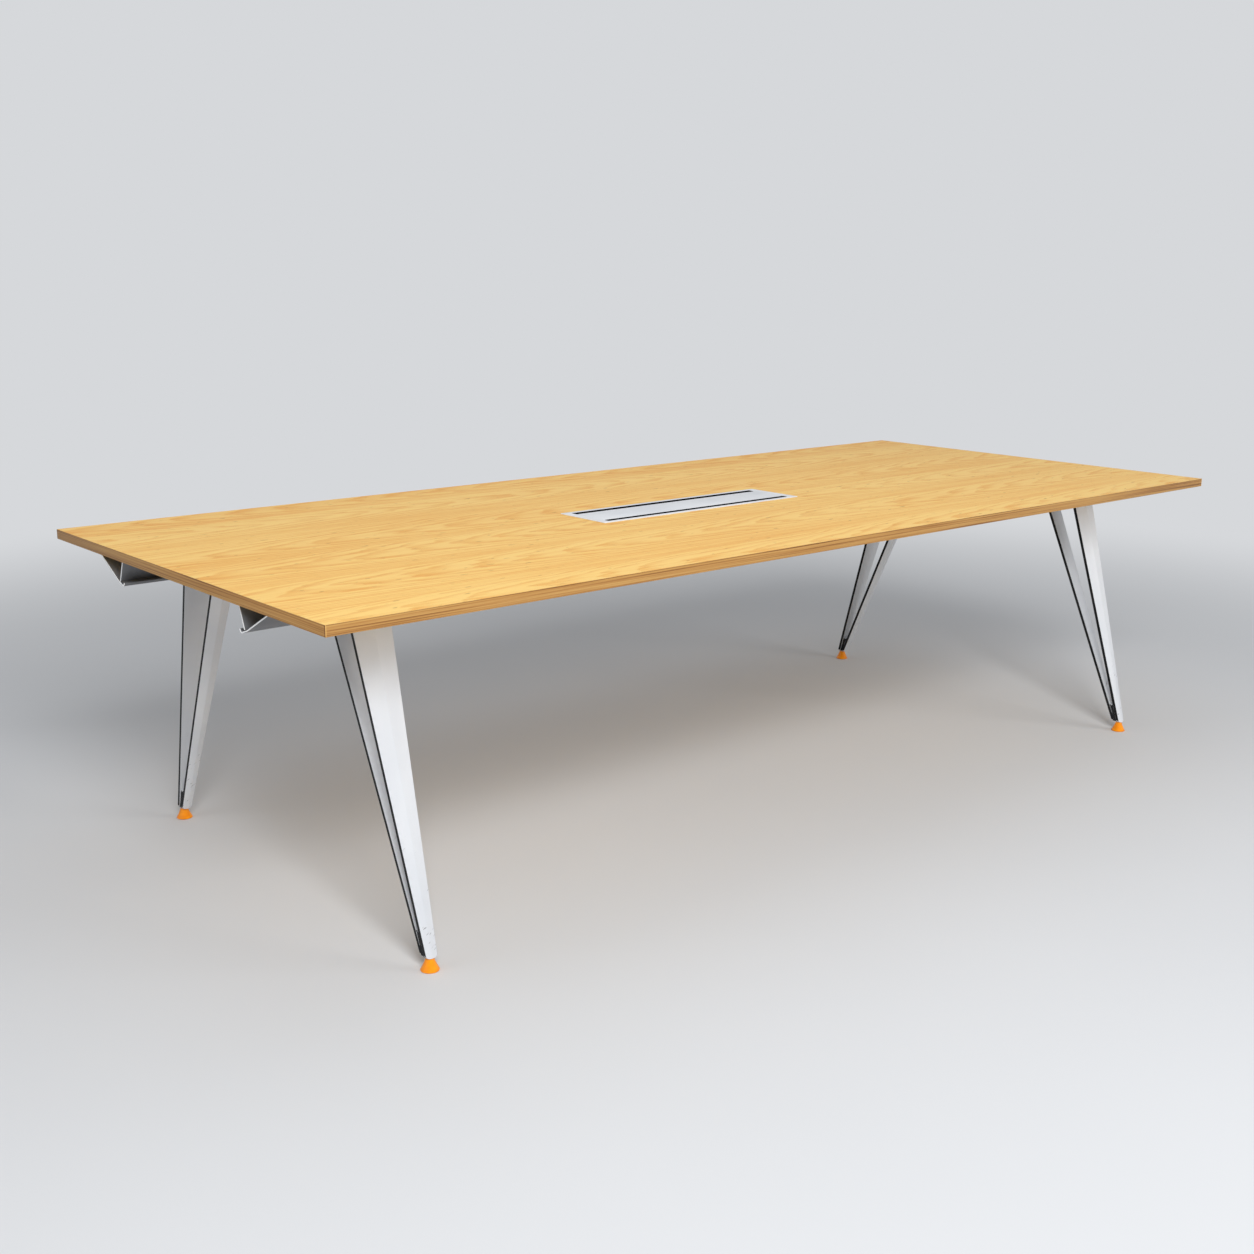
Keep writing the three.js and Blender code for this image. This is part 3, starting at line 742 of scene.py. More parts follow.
@dataclass
class CableFlap:
    """Rim, walls, lid, hinge pins and brush strips of the cable flap."""

    finishes: Finishes
    mouth: tuple[float, float] = (0.620, 0.142)
    wall: float = 0.002
    pocket: float = 0.004
    gap: float = 0.0003
    rim: float = 0.0015
    rim_corner: float = 0.003
    rim_arris: float = 0.00035
    wall_turn: float = 0.6
    ledge: tuple[float, float, float] = (0.008, 0.084, 0.003)
    ledge_arris: float = 0.0006
    lid_thickness: float = 0.003
    lid_bend: float = 0.0014
    lid_arris: float = 0.0004
    lip: float = 0.009
    shaded_lip_turn: float = 0.5
    bead: float = 0.0035
    bore: float = 0.0021
    bore_depth: float = 0.013
    pin_arris: float = 0.0005
    tuft_pitch: float = 0.0077375
    tuft_strands: int = 64
    seed: int = 11
    strand: tuple[float, float] = (0.00045, 0.0003)
    knee: tuple[float, float] = (0.0018, 0.0019)
    crowding: float = 1.7
    droop: tuple[float, float] = (-0.006, 0.012)
    splay: float = 0.035
    reach: tuple[float, float] = (0.92, 0.98)

    def __post_init__(self) -> None:
        """Finds the flap's middle and top."""
        low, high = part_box("flap_frame")
        self.middle = (low + high) / 2
        self.low, self.high = low, high
        self.top = high.z

    def at(self, x: float, y: float, z: float) -> Vector:
        """A point given from the flap's middle, with its height from the rim's top."""
        return Vector((self.middle.x + x, self.middle.y + y, self.top + z))

    def cut_out(self) -> tuple[Vector, Vector]:
        """The hole in the board that the walls go through."""
        half_x = self.mouth[0] / 2 + self.wall + self.gap
        half_y = self.mouth[1] / 2 + self.pocket + self.wall + self.gap
        return self.at(-half_x, -half_y, 0), self.at(half_x, half_y, 0)

    def build(self) -> None:
        """Makes all pieces of the flap."""
        self.frame()
        self.lid()
        self.pins()
        self.brushes()

    def ring(self, name: str, outer: Place, inner: Place, low: float, high: float) -> Piece:
        """A rectangular ring.

        Args:
            name: the piece's name.
            outer: its outer length and width.
            inner: its mouth's length and width.
            low: its lowest height from the rim's top.
            high: its greatest height from the rim's top.

        Returns:
            The ring, with its faces outwards.
        """
        half = [size / 2 for size in outer]
        piece = Bench.box(name, self.at(-half[0], -half[1], low), self.at(half[0], half[1], high))
        open_ring(piece, self.at(-inner[0] / 2, -inner[1] / 2, 0), self.at(inner[0] / 2, inner[1] / 2, 0))
        return piece

    def frame(self) -> None:
        """The rim with its rounded corners, the walls below it and the lid's two ledges."""
        length, width = self.mouth
        size = self.high - self.low
        rim = self.ring("flap_frame.rim", (size.x, size.y), self.mouth, -self.rim, 0)
        Bench.pick(rim, Part.EDGE, lambda p, d: abs(d.z) > ALONG and (
            near(abs(p.x - self.middle.x), size.x / 2)
        ))
        Bench.round_edges(self.rim_corner, 5)
        Bench.clear()
        Bench.ease(rim, self.rim_arris)
        inner = (length, width + 2 * self.pocket)
        outer = (inner[0] + 2 * self.wall, inner[1] + 2 * self.wall)
        walls = self.ring("flap_frame.walls", outer, inner, self.low.z - self.top, -self.rim / 2)
        Bench.combine(rim, walls, "UNION")
        reach, wide, deep = self.ledge
        shelf = -self.lid_thickness - self.gap
        for end in End:
            near_x = end.value * (length / 2 - reach)
            far_x = end.value * (length / 2 + self.wall / 2)
            corners = sorted((near_x, far_x))
            ledge = Bench.box("flap_frame.ledge", self.at(corners[0], -wide / 2, shelf - deep),
                              self.at(corners[1], wide / 2, shelf))
            Bench.ease(ledge, self.ledge_arris)
            Bench.combine(rim, ledge, "UNION")
        hand_over(rim, "flap_frame", "satin_silver", self.finishes.flap, self.finishes.bristle)
        # The walls that face into the slots beside the lid get black painted shade
        Bench.paint(rim, lambda p, n: abs(n.y) > self.wall_turn and (p.y - self.middle.y) * n.y < 0 and (
            abs(p.y - self.middle.y) < width / 2 + self.pocket + self.wall / 2
        ))

    def lid(self) -> None:
        """The lid: a sheet with its front edge turned down and a bead for the hinge at the rear."""
        low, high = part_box("flap_lid")
        level = high.z - self.lid_thickness / 2
        front = low.y + self.lid_thickness / 2
        hinge = high.y - self.bead
        path = [(hinge, level), (front, level), (front, high.z - self.lip)]
        piece = Bench.folded("flap_lid.sheet", path, (low.x, high.x), self.lid_thickness, self.lid_bend)
        Bench.ease(piece, self.lid_arris, FOLDED)
        axis_z = high.z - self.bead
        bead = Bench.rod("flap_lid.bead", self.bead, (low.x, hinge, axis_z), (high.x, hinge, axis_z), 40)
        for end in (-1, 1):
            Bench.pick(bead, Part.FACE, lambda p, n, end=end: n.x * end > ALONG)
            bpy.ops.mesh.inset(thickness=self.bead - self.bore, depth=0)
            Bench.extrude((-end * self.bore_depth, 0, 0))
        Bench.outwards(bead)
        Bench.combine(piece, bead, "UNION")
        hand_over(piece, "flap_lid", "satin_silver", self.finishes.flap, self.finishes.bristle, body="lid")
        # The front face of the lid's turned-down lip gets black painted shade
        Bench.paint(piece, lambda p, n: n.y < -self.shaded_lip_turn and p.y < front)

    def pins(self) -> None:
        """The two hinge pins, with rounded ends."""
        for end in End:
            node = f"lid_pin_{end.word}"
            low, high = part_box(node)
            radius = (high.z - low.z) / 2
            middle = (low + high) / 2
            start, stop = ((x, middle.y, middle.z) for x in (low.x, high.x))
            pin = Bench.rod(f"{node}.turned", radius, start, stop, 24)
            Bench.ease(pin, self.pin_arris, FOLDED)
            hand_over(pin, node, "zinc_steel", self.finishes.zinc)

    def brushes(self) -> None:
        """A strip of loose bristles in a backing bar on both sides of the lid."""
        low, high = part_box("brush_strip_rear")
        length = high.x - low.x
        face = self.middle.y + self.mouth[1] / 2
        bar_top = self.top - self.rim - self.gap
        bar = Bench.box("brush.bar", (low.x, face, low.z), (high.x, high.y, bar_top))
        Bench.ease(bar, self.ledge_arris, segments=2)
        tuft = self.tuft(low, face, bar_top)
        count = round(length / self.tuft_pitch)
        Bench.modify(tuft, "ARRAY", count=count, use_relative_offset=False, use_constant_offset=True,
                     constant_offset_displace=(self.tuft_pitch, 0, 0))
        Bench.join([bar, tuft])
        for side in Side:
            turn = Matrix.Translation(self.middle) @ Matrix.Rotation(side.value, 4, "Z")
            place = turn @ Matrix.Translation(-self.middle)
            node = f"brush_strip_{side.word}"
            strip = Bench.placed(bar, f"{node}.bristles", place)
            hand_over(strip, node, "black_bristle", self.finishes.bristle)
        Bench.scrap(bar)

    def bristle(self, length: float) -> Piece:
        """One strand from the origin along -Y, which bends up to the rim's level and then runs level."""
        root, tip = self.strand
        out, rise = self.knee
        Bench.clear()
        bpy.ops.mesh.primitive_circle_add(
            vertices=4, radius=root, fill_type="NGON", rotation=(math.pi / 2, 0, 0),
        )
        strand = Bench.named("brush.strand")
        Bench.whole(strand)
        Bench.extrude((0, -out, rise))
        Bench.extrude((0, out - length, 0))
        Bench.resize((tip / root, 1, tip / root), (0, -length, rise))
        Bench.outwards(strand)
        return strand

    def tuft(self, low: Vector, face: float, bar_top: float) -> Piece:
        """One pitch of the strip: strands at places and angles of their own, drawn from a fixed seed.

        Args:
            low: the strip's lowest corner, which is at the strands' tips.
            face: the Y of the bar's front face.
            bar_top: the height of the bar's upper side.

        Returns:
            The strands as one object.
        """
        draw = random.Random(self.seed)
        root = self.strand[0]
        strand = self.bristle(face - low.y)
        strands = []
        for k in range(self.tuft_strands):
            x = low.x + (k + draw.random()) / self.tuft_strands * self.tuft_pitch
            depth = (bar_top - low.z - 3 * root) * draw.random() ** self.crowding
            droop = Matrix.Rotation(draw.uniform(*self.droop), 4, "X")
            splay = Matrix.Rotation(draw.uniform(-self.splay, self.splay), 4, "Z")
            short = Matrix.Diagonal((1, draw.uniform(*self.reach), 1, 1))
            place = Matrix.Translation((x, face, bar_top - 1.5 * root - depth)) @ droop @ splay @ short
            strands.append(Bench.placed(strand, "brush.tuft", place))
        Bench.scrap(strand)
        return Bench.join(strands)


def open_ring(piece: Piece, low: Vector, high: Vector) -> None:
    """Cuts a rectangular hole right through a box, from its top to its bottom.

    Args:
        piece: the box.
        low: the hole's least X and Y.
        high: the hole's greatest X and Y.
    """
    for corner in (low, high):
        Bench.slice(piece, corner, (1, 0, 0))
        Bench.slice(piece, corner, (0, 1, 0))
    Bench.pick(piece, Part.FACE, lambda p, n: (
        abs(n.z) > ALONG and low.x < p.x < high.x and low.y < p.y < high.y
    ))
    bpy.ops.mesh.delete(type="FACE")
    bpy.ops.mesh.select_mode(type="EDGE")
    bpy.ops.mesh.select_non_manifold()
    bpy.ops.mesh.bridge_edge_loops()
    Bench.outwards(piece)


@dataclass
class Tabletop:
    """The veneered board and its four mitred lippings."""

    finishes: Finishes
    flap: CableFlap
    arris: float = 0.0008

    def build(self) -> None:
        """Makes the board and the lippings."""
        low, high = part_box("tabletop_board")
        board = Bench.box("tabletop_board.veneered", low, high)
        open_ring(board, *self.flap.cut_out())
        hand_over(board, "tabletop_board", "oak_veneer", self.finishes.veneer)
        for word in ("front", "right", "rear", "left"):
            self.lipping(f"lipping_{word}")

    def lipping(self, node: str) -> None:
        """One edge: mitred at both ends, eased along its outer arrises, with the veneer over its top."""
        low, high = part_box(node)
        size = high - low
        along = 0 if size.x > size.y else 1
        across = 1 - along
        inner = min(low[across], high[across], key=abs)
        outer = max(low[across], high[across], key=abs)
        piece = Bench.box(f"{node}.solid", low, high)
        for end in (low[along], high[along]):
            Bench.pick(piece, Part.POINT, lambda p, n, end=end: (
                near(p[across], inner) and near(p[along], end)
            ))
            step = Vector((0, 0, 0))
            step[along] = -math.copysign(size[across], end)
            Bench.move(step)
        Bench.pick(piece, Part.EDGE, lambda p, d: near(p[across], outer))
        Bench.round_edges(self.arris, 3)
        Bench.clear()
        hand_over(piece, node, "oak_lipping", self.finishes.lipping[along], self.finishes.veneer)
        Bench.paint(piece, lambda p, n: n.z > ALONG)


@dataclass
class Beams:
    """Two beams of folded sheet under the board, with the screws that hold them up."""

    finishes: Finishes
    sheet: float = 0.0025
    flange_z: float = 0.71165
    bend: float = 0.0026
    arris: float = 0.0003
    screw_head: float = 0.0026
    screw_head_radius: float = 0.0045
    screw_radius: float = 0.002
    screw_pitch: float = 0.0014
    screw_neck: float = 0.001
    screw_point: float = 0.003
    recess: tuple[float, float, float] = (0.0048, 0.0011, 0.0014)

    @property
    def outer_path(self) -> list[tuple[float, float]]:
        """Folds of the outer sheet: flange, sloping web, keel and upturned hook."""
        flange = [(0.402, self.flange_z), (0.380, self.flange_z)]
        return flange + [(0.292, 0.6645), (0.268, 0.6565), (0.262, 0.6635)]

    @property
    def inner_path(self) -> list[tuple[float, float]]:
        """Folds of the inner sheet: flange and steep web."""
        return [(0.212, self.flange_z), (0.264, self.flange_z), (0.2825, 0.6645)]

    def build(self) -> None:
        """Makes the sheets and the screws."""
        for row, path in (("outer", self.outer_path), ("inner", self.inner_path)):
            low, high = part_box(f"beam_{row}_sheet_rear")
            pattern = Bench.folded(f"beam_{row}", path, (low.x, high.x), self.sheet, self.bend)
            Bench.ease(pattern, self.arris, FOLDED, 2)
            for side in Side:
                node = f"beam_{row}_sheet_{side.word}"
                piece = Bench.placed(pattern, f"{node}.folded", Matrix.Rotation(side.value, 4, "Z"))
                hand_over(piece, node, "grey_sheet", self.finishes.sheet)
            Bench.scrap(pattern)
        self.screws()

    def screws(self) -> None:
        """Pan-head screws with a cross recess, one for each screw node."""
        low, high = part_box("screw_rear_outer_middle")
        length = high.z - low.z
        head, radius = self.screw_head, self.screw_head_radius
        profile = [
            (radius * 0.55, 0.0),
            (radius * 0.82, head * 0.12),
            (radius * 0.96, head * 0.4),
            (radius, head * 0.75),
            (radius, head),
            (self.screw_radius, head),
            *threads(self.screw_radius, head + self.screw_neck, length - self.screw_point, self.screw_pitch),
            (self.screw_radius * 0.3, length),
        ]
        pattern = Bench.turned("screw", profile, 24)
        long, wide, deep = self.recess
        for x, y in ((long, wide), (wide, long)):
            slot = Bench.box("screw.slot", (-x / 2, -y / 2, -deep), (x / 2, y / 2, deep))
            Bench.combine(pattern, slot, "DIFFERENCE")
        for side in Side:
            for row in ("outer", "inner"):
                for station in ("left", "middle", "right"):
                    node = f"screw_{side.word}_{row}_{station}"
                    low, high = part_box(node)
                    foot = Vector(((low.x + high.x) / 2, (low.y + high.y) / 2, low.z))
                    piece = Bench.placed(pattern, f"{node}.pan_head", Matrix.Translation(foot))
                    hand_over(piece, node, "zinc_steel", self.finishes.zinc)
        Bench.scrap(pattern)


def threads(radius: float, low: float, high: float, pitch: float) -> list[tuple[float, float]]:
    """Rings of a thread's crests and roots, for a turned profile.

    Args:
        radius: the crests' radius.
        low: where the thread starts.
        high: where it ends.
        pitch: the distance between crests.

    Returns:
        Radius and height of each ring, from the bottom up.
    """
    turns = int((high - low) / pitch)
    depth = 0.55 * pitch
    rings = [(radius, low)]
    for k in range(turns):
        start = low + k * pitch
        rings.append((radius - depth, start + 0.5 * pitch))
        rings.append((radius, start + pitch))
    return rings


@dataclass(frozen=True)
class Limb:
    """One limb of a leg: a tapered bar with a ridge down one face."""

    top_y: float
    top_width: float
    ankle_y: float
    ankle_width: float
    ridge: float


@dataclass
class Legs:
    """Four forked castings with their bolts, and the orange glides under them."""

    finishes: Finishes
    beams: Beams
    leg_x: float = 1.215
    underside: float = 0.713
    ankle: float = 0.045
    toe_bottom: float = 0.027
    thickness: float = 0.010
    outer: Limb = Limb(0.3425, 0.093, 0.5377, 0.027, 0.17)
    inner: Limb = Limb(0.2275, 0.054, 0.520, 0.0236, -0.27)
    toe_round: float = 0.007
    crotch: float = 0.074
    crotch_radius: float = 0.003
    pad: float = 0.007
    gap: float = 0.0003
    outer_pad: tuple[float, float, float] = (0.314, 0.364, 0.096)
    inner_pad: tuple[float, float, float] = (0.216, 0.262, 0.056)
    pad_arris: float = 0.0015
    arris: float = 0.0006
    side_turn: float = 0.97
    bolt_x: float = 0.028
    bolt_y: float = 0.328
    inner_bolt_y: float = 0.251
    bolt_lengths: tuple[float, float] = (0.018, 0.023)
    bolt_head: float = 0.0045
    bolt_head_radius: float = 0.0065
    bolt_radius: float = 0.004
    bolt_neck: float = 0.002
    bolt_tip: float = 0.001
    key_radius: float = 0.0028
    pitch: float = 0.00125
    foot_y: float = 0.539
    stem_z: tuple[float, float] = (0.010, 0.060)
    stem_lead: float = 0.0006
    stem_lean: float = 0.365
    stem_middle: float = 0.0188

    def build(self) -> None:
        """Makes the castings, the bolts and the glides."""
        casting = self.casting()
        outer_bolt = self.bolt("leg_bolt_outer", self.bolt_lengths[0])
        inner_bolt = self.bolt("leg_bolt_inner", self.bolt_lengths[1])
        foot, stem = self.foot(), self.stem()
        for side in Side:
            for end in End:
                where = f"{side.word}_{end.word}"
                shift = Matrix.Translation((end.value * self.leg_x, 0, 0))
                place = shift @ Matrix.Rotation(side.value, 4, "Z")
                leg = Bench.placed(casting, f"leg_{where}.cast", place)
                hand_over(leg, f"leg_{where}", "satin_silver", self.finishes.silver, self.finishes.side,
                          angle=CRISP)
                # Faces turned along X, the narrow sides, get the painted shade and reflection
                Bench.paint(leg, lambda p, n: abs(n.x) > self.side_turn)
                self.place_bolts(outer_bolt, inner_bolt, where, place)
                for word, pattern, slot, finish in (
                    ("foot", foot, "orange_plastic", self.finishes.orange),
                    ("stem", stem, "zinc_steel", self.finishes.zinc),
                ):
                    node = f"glide_{word}_{where}"
                    piece = Bench.placed(pattern, f"{node}.turned", place)
                    hand_over(piece, node, slot, finish, body=f"glide_{where}")
        for pattern in (casting, outer_bolt, inner_bolt, foot, stem):
            Bench.scrap(pattern)

    def level(self, limb: Limb, z: float) -> tuple[float, float]:
        """The limb's distance from the middle of the table and its half width at a height."""
        share = (self.underside - z) / (self.underside - self.ankle)
        y = limb.top_y + (limb.ankle_y - limb.top_y) * share
        return y, (limb.top_width + (limb.ankle_width - limb.top_width) * share) / 2

    def limb(self, name: str, limb: Limb, top: float) -> Piece:
        """A limb as a box that is leaned, tapered, ridged and rounded at the toe."""
        bottom = self.toe_bottom
        low_y, low_half = self.level(limb, bottom)
        top_y, top_half = self.level(limb, top)
        half = self.thickness / 2
        piece = Bench.box(name, (-low_half, low_y - half, bottom), (low_half, low_y + half, top))
        Bench.pick(piece, Part.POINT, lambda p, n: near(p.z, top))
        Bench.move((0, top_y - low_y, 0))
        Bench.resize((top_half / low_half, 1, 1), (0, top_y, top))
        Bench.slice(piece, (0, 0, 0), (1, 0, 0))
        face = math.copysign(half, limb.ridge)
        for y, wide, z in ((low_y, low_half, bottom), (top_y, top_half, top)):
            Bench.pick(piece, Part.POINT, lambda p, n, y=y, z=z: (
                near(p.x, 0) and near(p.y, y + face) and near(p.z, z)
            ))
            Bench.move((0, limb.ridge * wide, 0))
        Bench.pick(piece, Part.EDGE, lambda p, d: (
            near(p.z, bottom) and near(abs(p.x), low_half) and abs(d.y) > ALONG
        ))
        Bench.round_edges(self.toe_round, 6)
        Bench.clear()
        return piece

    def web_frame(self) -> Matrix:
        """The place on the beam's sloping web that the outer pad is bolted to, with +Z out of the web."""
        (_, _), (high_y, high_z), (low_y, low_z) = self.beams.outer_path[:3]
        slope = (high_z - low_z) / (high_y - low_y)
        z = low_z + (self.bolt_y - low_y) * slope
        return Matrix.Translation((0, self.bolt_y, z)) @ Matrix.Rotation(math.atan(slope), 4, "X")

    def casting(self) -> Piece:
        """One leg at the rear: two limbs joined at the toe, each with a pad under the beam."""
        web = self.web_frame()
        under = -self.beams.sheet / 2 - self.gap
        pad_top = self.beams.flange_z + under
        whole = self.limb("leg.outer_limb", self.outer, self.underside)
        lift = web @ Vector((0, 0, under - self.pad / 2))
        Bench.slice(whole, lift, web.to_3x3() @ Vector((0, 0, 1)), cut_off=True)
        Bench.ease(whole, self.arris, LEANING, 6)
        inner = self.limb("leg.inner_limb", self.inner, pad_top - self.pad / 2)
        Bench.ease(inner, self.arris, LEANING, 6)
        near_y, far_y, wide = self.outer_pad
        run = math.cos(web.to_euler().x)
        outer_pad = Bench.box("leg.outer_pad", (-wide / 2, (near_y - self.bolt_y) / run, under - self.pad),
                              (wide / 2, (far_y - self.bolt_y) / run, under))
        outer_pad.data.transform(web)
        near_y, far_y, wide = self.inner_pad
        inner_pad = Bench.box("leg.inner_pad", (-wide / 2, near_y, pad_top - self.pad),
                              (wide / 2, far_y, pad_top))
        for pad in (outer_pad, inner_pad):
            Bench.ease(pad, self.pad_arris)
        for piece in (inner, self.toe(), outer_pad, inner_pad):
            Bench.combine(whole, piece, "UNION")
        return whole

    def toe(self) -> Piece:
        """The web between the limbs below the crotch, with a round crotch."""
        top, bottom = self.crotch + self.crotch_radius, self.toe_bottom
        half = self.inner.ankle_width / 2
        rows = [(z, self.level(self.inner, z)[0], self.level(self.outer, z)[0]) for z in (bottom, top)]
        (_, near_y, far_y), (_, top_near, top_far) = rows
        piece = Bench.box("leg.toe", (-half, near_y, bottom), (half, far_y, top))
        for y, goal in ((near_y, top_near), (far_y, top_far)):
            Bench.pick(piece, Part.POINT, lambda p, n, y=y: near(p.z, top) and near(p.y, y))
            Bench.move((0, goal - y, 0))
        Bench.pick(piece, Part.EDGE, lambda p, d: near(p.z, bottom) and near(abs(p.x), half))
        Bench.round_edges(self.toe_round / 2, 4)
        Bench.clear()
        middle = (self.level(self.inner, self.crotch)[0] + self.level(self.outer, self.crotch)[0]) / 2
        start, end = (-2 * half, middle, top), (2 * half, middle, top)
        Bench.combine(piece, Bench.rod("leg.crotch", self.crotch_radius, start, end, 24), "DIFFERENCE")
        return piece

    def bolt(self, name: str, length: float) -> Piece:
        """A button-head bolt with a hexagon socket, its head below and its shank up from z = 0."""
        head, radius = self.bolt_head, self.bolt_head_radius
        profile = [
            (radius * 0.62, -head),
            (radius * 0.8, -head * 0.9),
            (radius * 0.94, -head * 0.62),
            (radius, -head * 0.25),
            (radius, 0),
            (self.bolt_radius, 0),
            *threads(self.bolt_radius, self.bolt_neck, length - self.bolt_tip, self.pitch),
            (self.bolt_radius * 0.8, length),
        ]
        piece = Bench.turned(name, profile, 32)
        key = Bench.rod(f"{name}.key", self.key_radius, (0, 0, -head - self.bolt_tip), (0, 0, -head * 0.4), 6)
        Bench.combine(piece, key, "DIFFERENCE")
        return piece

    def place_bolts(self, outer: Piece, inner: Piece, where: str, place: Matrix) -> None:
        """Puts the three bolts of one leg in their places.

        Args:
            outer: the pattern of the bolts through the sloping web.
            inner: the pattern of the bolt through the inner flange.
            where: the leg's side and end, as in the nodes' names.
            place: where the leg stands.
        """
        seat = Matrix.Translation((0, 0, -self.beams.sheet / 2 - 1.5 * self.gap - self.pad))
        web = self.web_frame()
        flange = Matrix.Translation((0, self.inner_bolt_y, self.beams.flange_z))
        for pattern, node, spot in (
            (outer, f"leg_bolt_outer_{where}_a", Matrix.Translation((-self.bolt_x, 0, 0)) @ web),
            (outer, f"leg_bolt_outer_{where}_b", Matrix.Translation((self.bolt_x, 0, 0)) @ web),
            (inner, f"leg_bolt_inner_{where}", flange),
        ):
            bolt = Bench.placed(pattern, f"{node}.button_head", place @ spot @ seat)
            hand_over(bolt, node, "zinc_steel", self.finishes.zinc)

    def foot(self) -> Piece:
        """The glide's cone: a thin lip at the floor, a flared side and a rounded shoulder."""
        wide, narrow, bore, lip, tall = 0.019, 0.008, 0.0044, 0.0025, 0.0264
        steps = 10
        flare = []
        for k in range(1, steps):
            share = 1 - k / steps
            flare.append((narrow + (wide - 0.0005 - narrow) * share ** 1.25, tall - (tall - lip) * share))
        profile = [
            (wide - 0.0012, 0.0),
            (wide - 0.0003, 0.0004),
            (wide, 0.0012),
            (wide - 0.0002, 0.0020),
            (wide - 0.0007, lip),
            *flare,
            (narrow, tall - 0.0008),
            (narrow - 0.0003, tall - 0.0003),
            (narrow - 0.0009, tall),
            (bore, tall),
            (bore, tall - 0.002),
        ]
        piece = Bench.turned("glide_foot", profile, 56)
        piece.data.transform(Matrix.Translation((0, self.foot_y, 0)))
        return piece

    def stem(self) -> Piece:
        """The threaded stem, which leans in up the leg."""
        reach = math.hypot(1, self.stem_lean)
        low, high = ((z - self.stem_middle) * reach for z in self.stem_z)
        profile = [
            (self.bolt_radius * 0.8, low),
            *threads(self.bolt_radius, low + self.stem_lead, high - self.bolt_tip, self.pitch),
            (self.bolt_radius * 0.75, high),
        ]
        piece = Bench.turned("glide_stem", profile, 28)
        lean = Matrix.Rotation(math.atan(self.stem_lean), 4, "X")
        piece.data.transform(Matrix.Translation((0, self.foot_y, self.stem_middle)) @ lean)
        return piece


@dataclass(frozen=True)
class Lamp:
    """A soft rectangular lamp: where it hangs, what it points at, its two sizes and its watts."""

    name: str
    place: Place
    target: Place
    size: Place
    power: float

    def hang(self) -> None:
        """Puts the lamp in the scene, where reflections don't show it."""
        data = bpy.data.lights.new(self.name, "AREA")
        data.shape = "RECTANGLE"
        data.size, data.size_y = self.size
        data.energy = self.power
        lamp = bpy.data.objects.new(self.name, data)
        lamp.location = self.place
        aim = Vector(self.target) - Vector(self.place)
        lamp.rotation_euler = aim.to_track_quat("-Z", "Y").to_euler()
        lamp.visible_glossy = False
        bpy.context.scene.collection.objects.link(lamp)


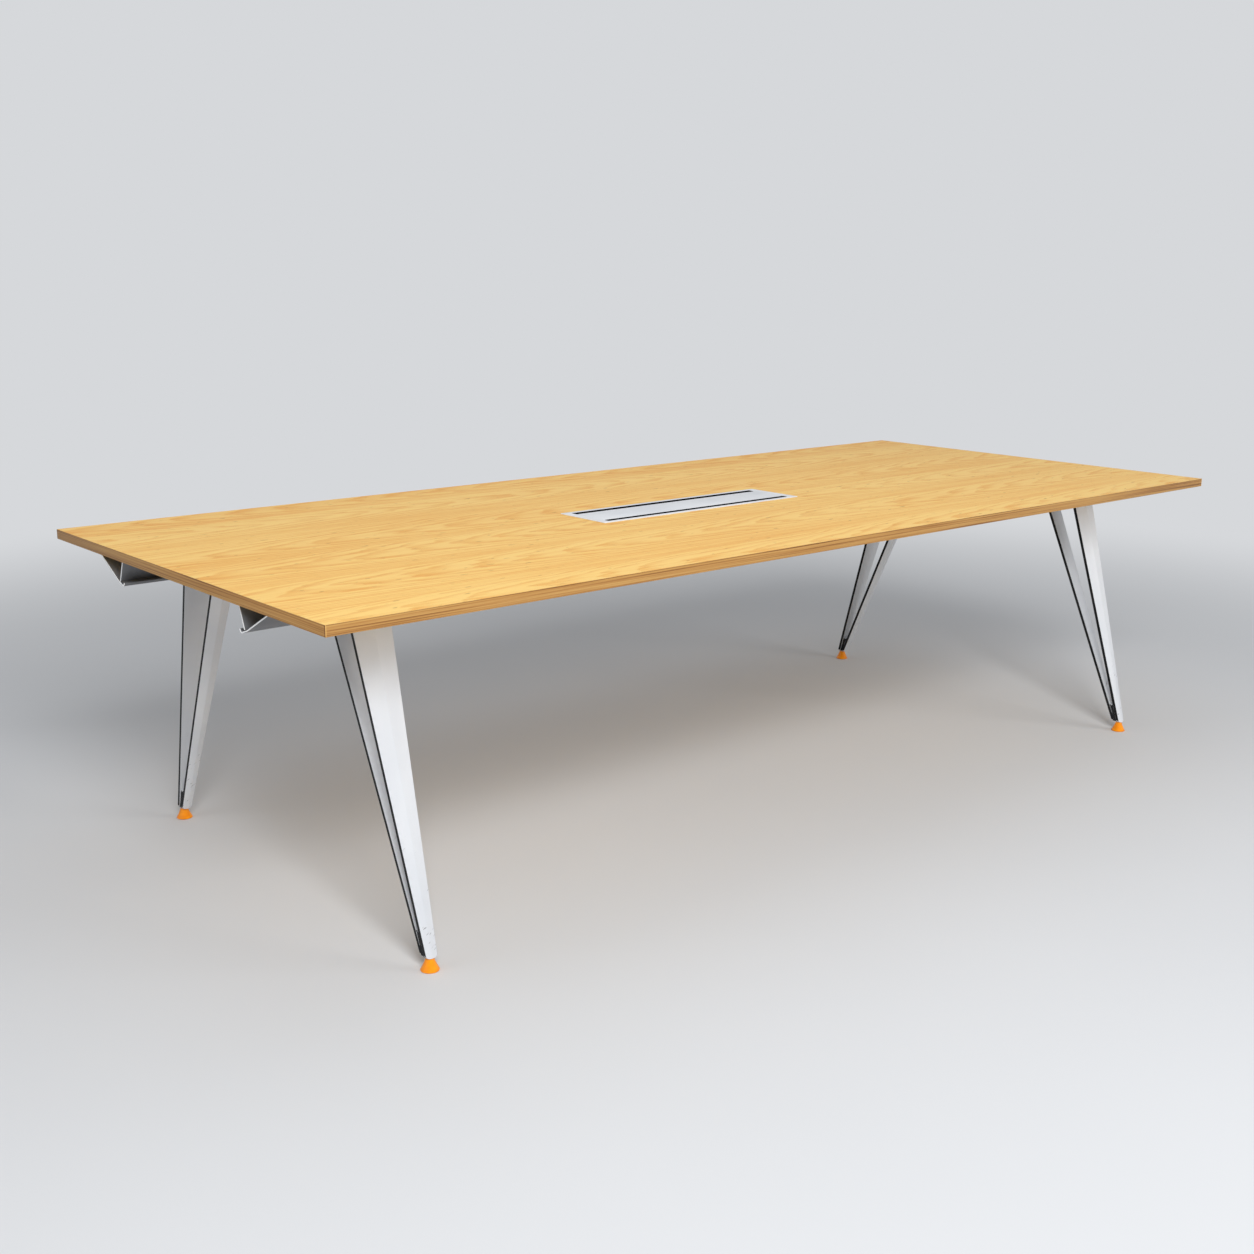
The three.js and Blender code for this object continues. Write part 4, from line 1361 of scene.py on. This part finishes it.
@dataclass
class Studio:
    """Pale floor, soft light and the camera."""

    lamps: tuple[Lamp, ...] = (
        Lamp("key", (-2.8, -4.4, 3.8), (0.0, 0.0, 0.5), (2.4, 1.8), 270),
        Lamp("front", (2.4, -4.2, 1.9), (0.8, 0.0, 0.5), (2.4, 1.4), 64),
        Lamp("side", (-4.6, 0.4, 1.9), (-0.8, 0.0, 0.6), (2.4, 1.8), 12),
        Lamp("top", (0.3, 0.6, 3.6), (0.2, 0.1, 0.6), (3.6, 2.4), 19),
    )
    floor_size: float = 80.0
    floor_drop: float = 0.0004
    fade: tuple[float, float] = (1.9, 4.8)
    floor_colour: Colour = screen(220, 222, 225)
    floor_cloud: Colour = screen(213, 215, 218)
    far_colour: Colour = screen(214, 216, 219)
    sky: Colour = (0.95, 0.97, 1.0, 1.0)
    ambient: float = 0.28
    camera_place: tuple[float, float, float] = (-2.7136, -2.8351, 1.3466)
    yaw: float = 41.0318
    pitch: float = 13.6308
    roll: float = 0.4911
    focal_pixels: float = 1522.05
    photo_pixels: int = 1254
    sensor: float = 36.0

    def build(self) -> None:
        """Makes the floor, the lamps, the world and the camera."""
        self.floor()
        self.world()
        for lamp in self.lamps:
            lamp.hang()
        self.camera()
        bpy.context.scene.view_settings.view_transform = "Standard"

    def floor(self) -> None:
        """A wide pale floor that fades into the background far away."""
        Bench.clear()
        bpy.ops.mesh.primitive_plane_add(size=self.floor_size, location=(0, 0, -self.floor_drop))
        floor = Bench.named("studio_floor")
        s = Shader("studio_floor")
        x, y, _ = s.axes
        tone = s.mottle((0.6, 0.6, 0), 3.0)
        base = s.mix(tone, self.floor_colour, self.floor_cloud)
        lit = s.wire(s.node("BsdfPrincipled", inputs={
            "Base Color": base, "Roughness": 0.9, "Specular IOR Level": 0.0,
        }))
        glow = s.wire(s.node("Emission", inputs={"Color": self.far_colour, "Strength": 1.0}))
        path = s.node("LightPath")
        seen = s.math("MAXIMUM", s.wire(path, "Is Camera Ray"), s.wire(path, "Is Glossy Ray"))
        away = s.step(s.math("SQRT", x * x + y * y), *self.fade)
        blend = s.node("MixShader", inputs={0: away * seen, 1: lit, 2: glow})
        s.node("OutputMaterial", inputs={"Surface": s.wire(blend)})
        floor.data.materials.append(s.owner)

    def world(self) -> None:
        """An even sky for light, which shows as the pale background."""
        s = Shader("studio", of_world=True)
        bpy.context.scene.world = s.owner
        path = s.node("LightPath")
        seen = s.wire(path, "Is Camera Ray")
        for kind in ("Is Glossy Ray", "Is Transmission Ray"):
            seen = s.math("MAXIMUM", seen, s.wire(path, kind))
        light = s.node("Background", inputs={"Color": self.sky, "Strength": self.ambient})
        shown = s.node("Background", inputs={"Color": self.far_colour})
        blend = s.node("MixShader", inputs={0: seen, 1: s.wire(light), 2: s.wire(shown)})
        s.node("OutputWorld", inputs={"Surface": s.wire(blend)})

    def camera(self) -> None:
        """The photograph's viewpoint."""
        data = bpy.data.cameras.new("camera")
        data.sensor_width = self.sensor
        data.lens = self.sensor * self.focal_pixels / self.photo_pixels
        camera = bpy.data.objects.new("camera", data)
        turn = Matrix.Rotation(math.radians(-self.yaw), 4, "Z")
        tilt = Matrix.Rotation(math.radians(90 - self.pitch), 4, "X")
        roll = Matrix.Rotation(math.radians(self.roll), 4, "Z")
        camera.matrix_world = Matrix.Translation(self.camera_place) @ turn @ tilt @ roll
        bpy.context.scene.collection.objects.link(camera)
        bpy.context.scene.camera = camera


def main() -> None:
    """Builds the studio and the table, one sub-assembly after another."""
    logging.basicConfig(level=logging.INFO, format="%(message)s")
    Studio().build()
    finishes = Finishes()
    flap = CableFlap(finishes)
    beams = Beams(finishes)
    for assembly in (Tabletop(finishes, flap), flap, beams, Legs(finishes, beams)):
        assembly.build()
        log.info("%s is finished", type(assembly).__name__)


if __name__ == "__main__":
    main()
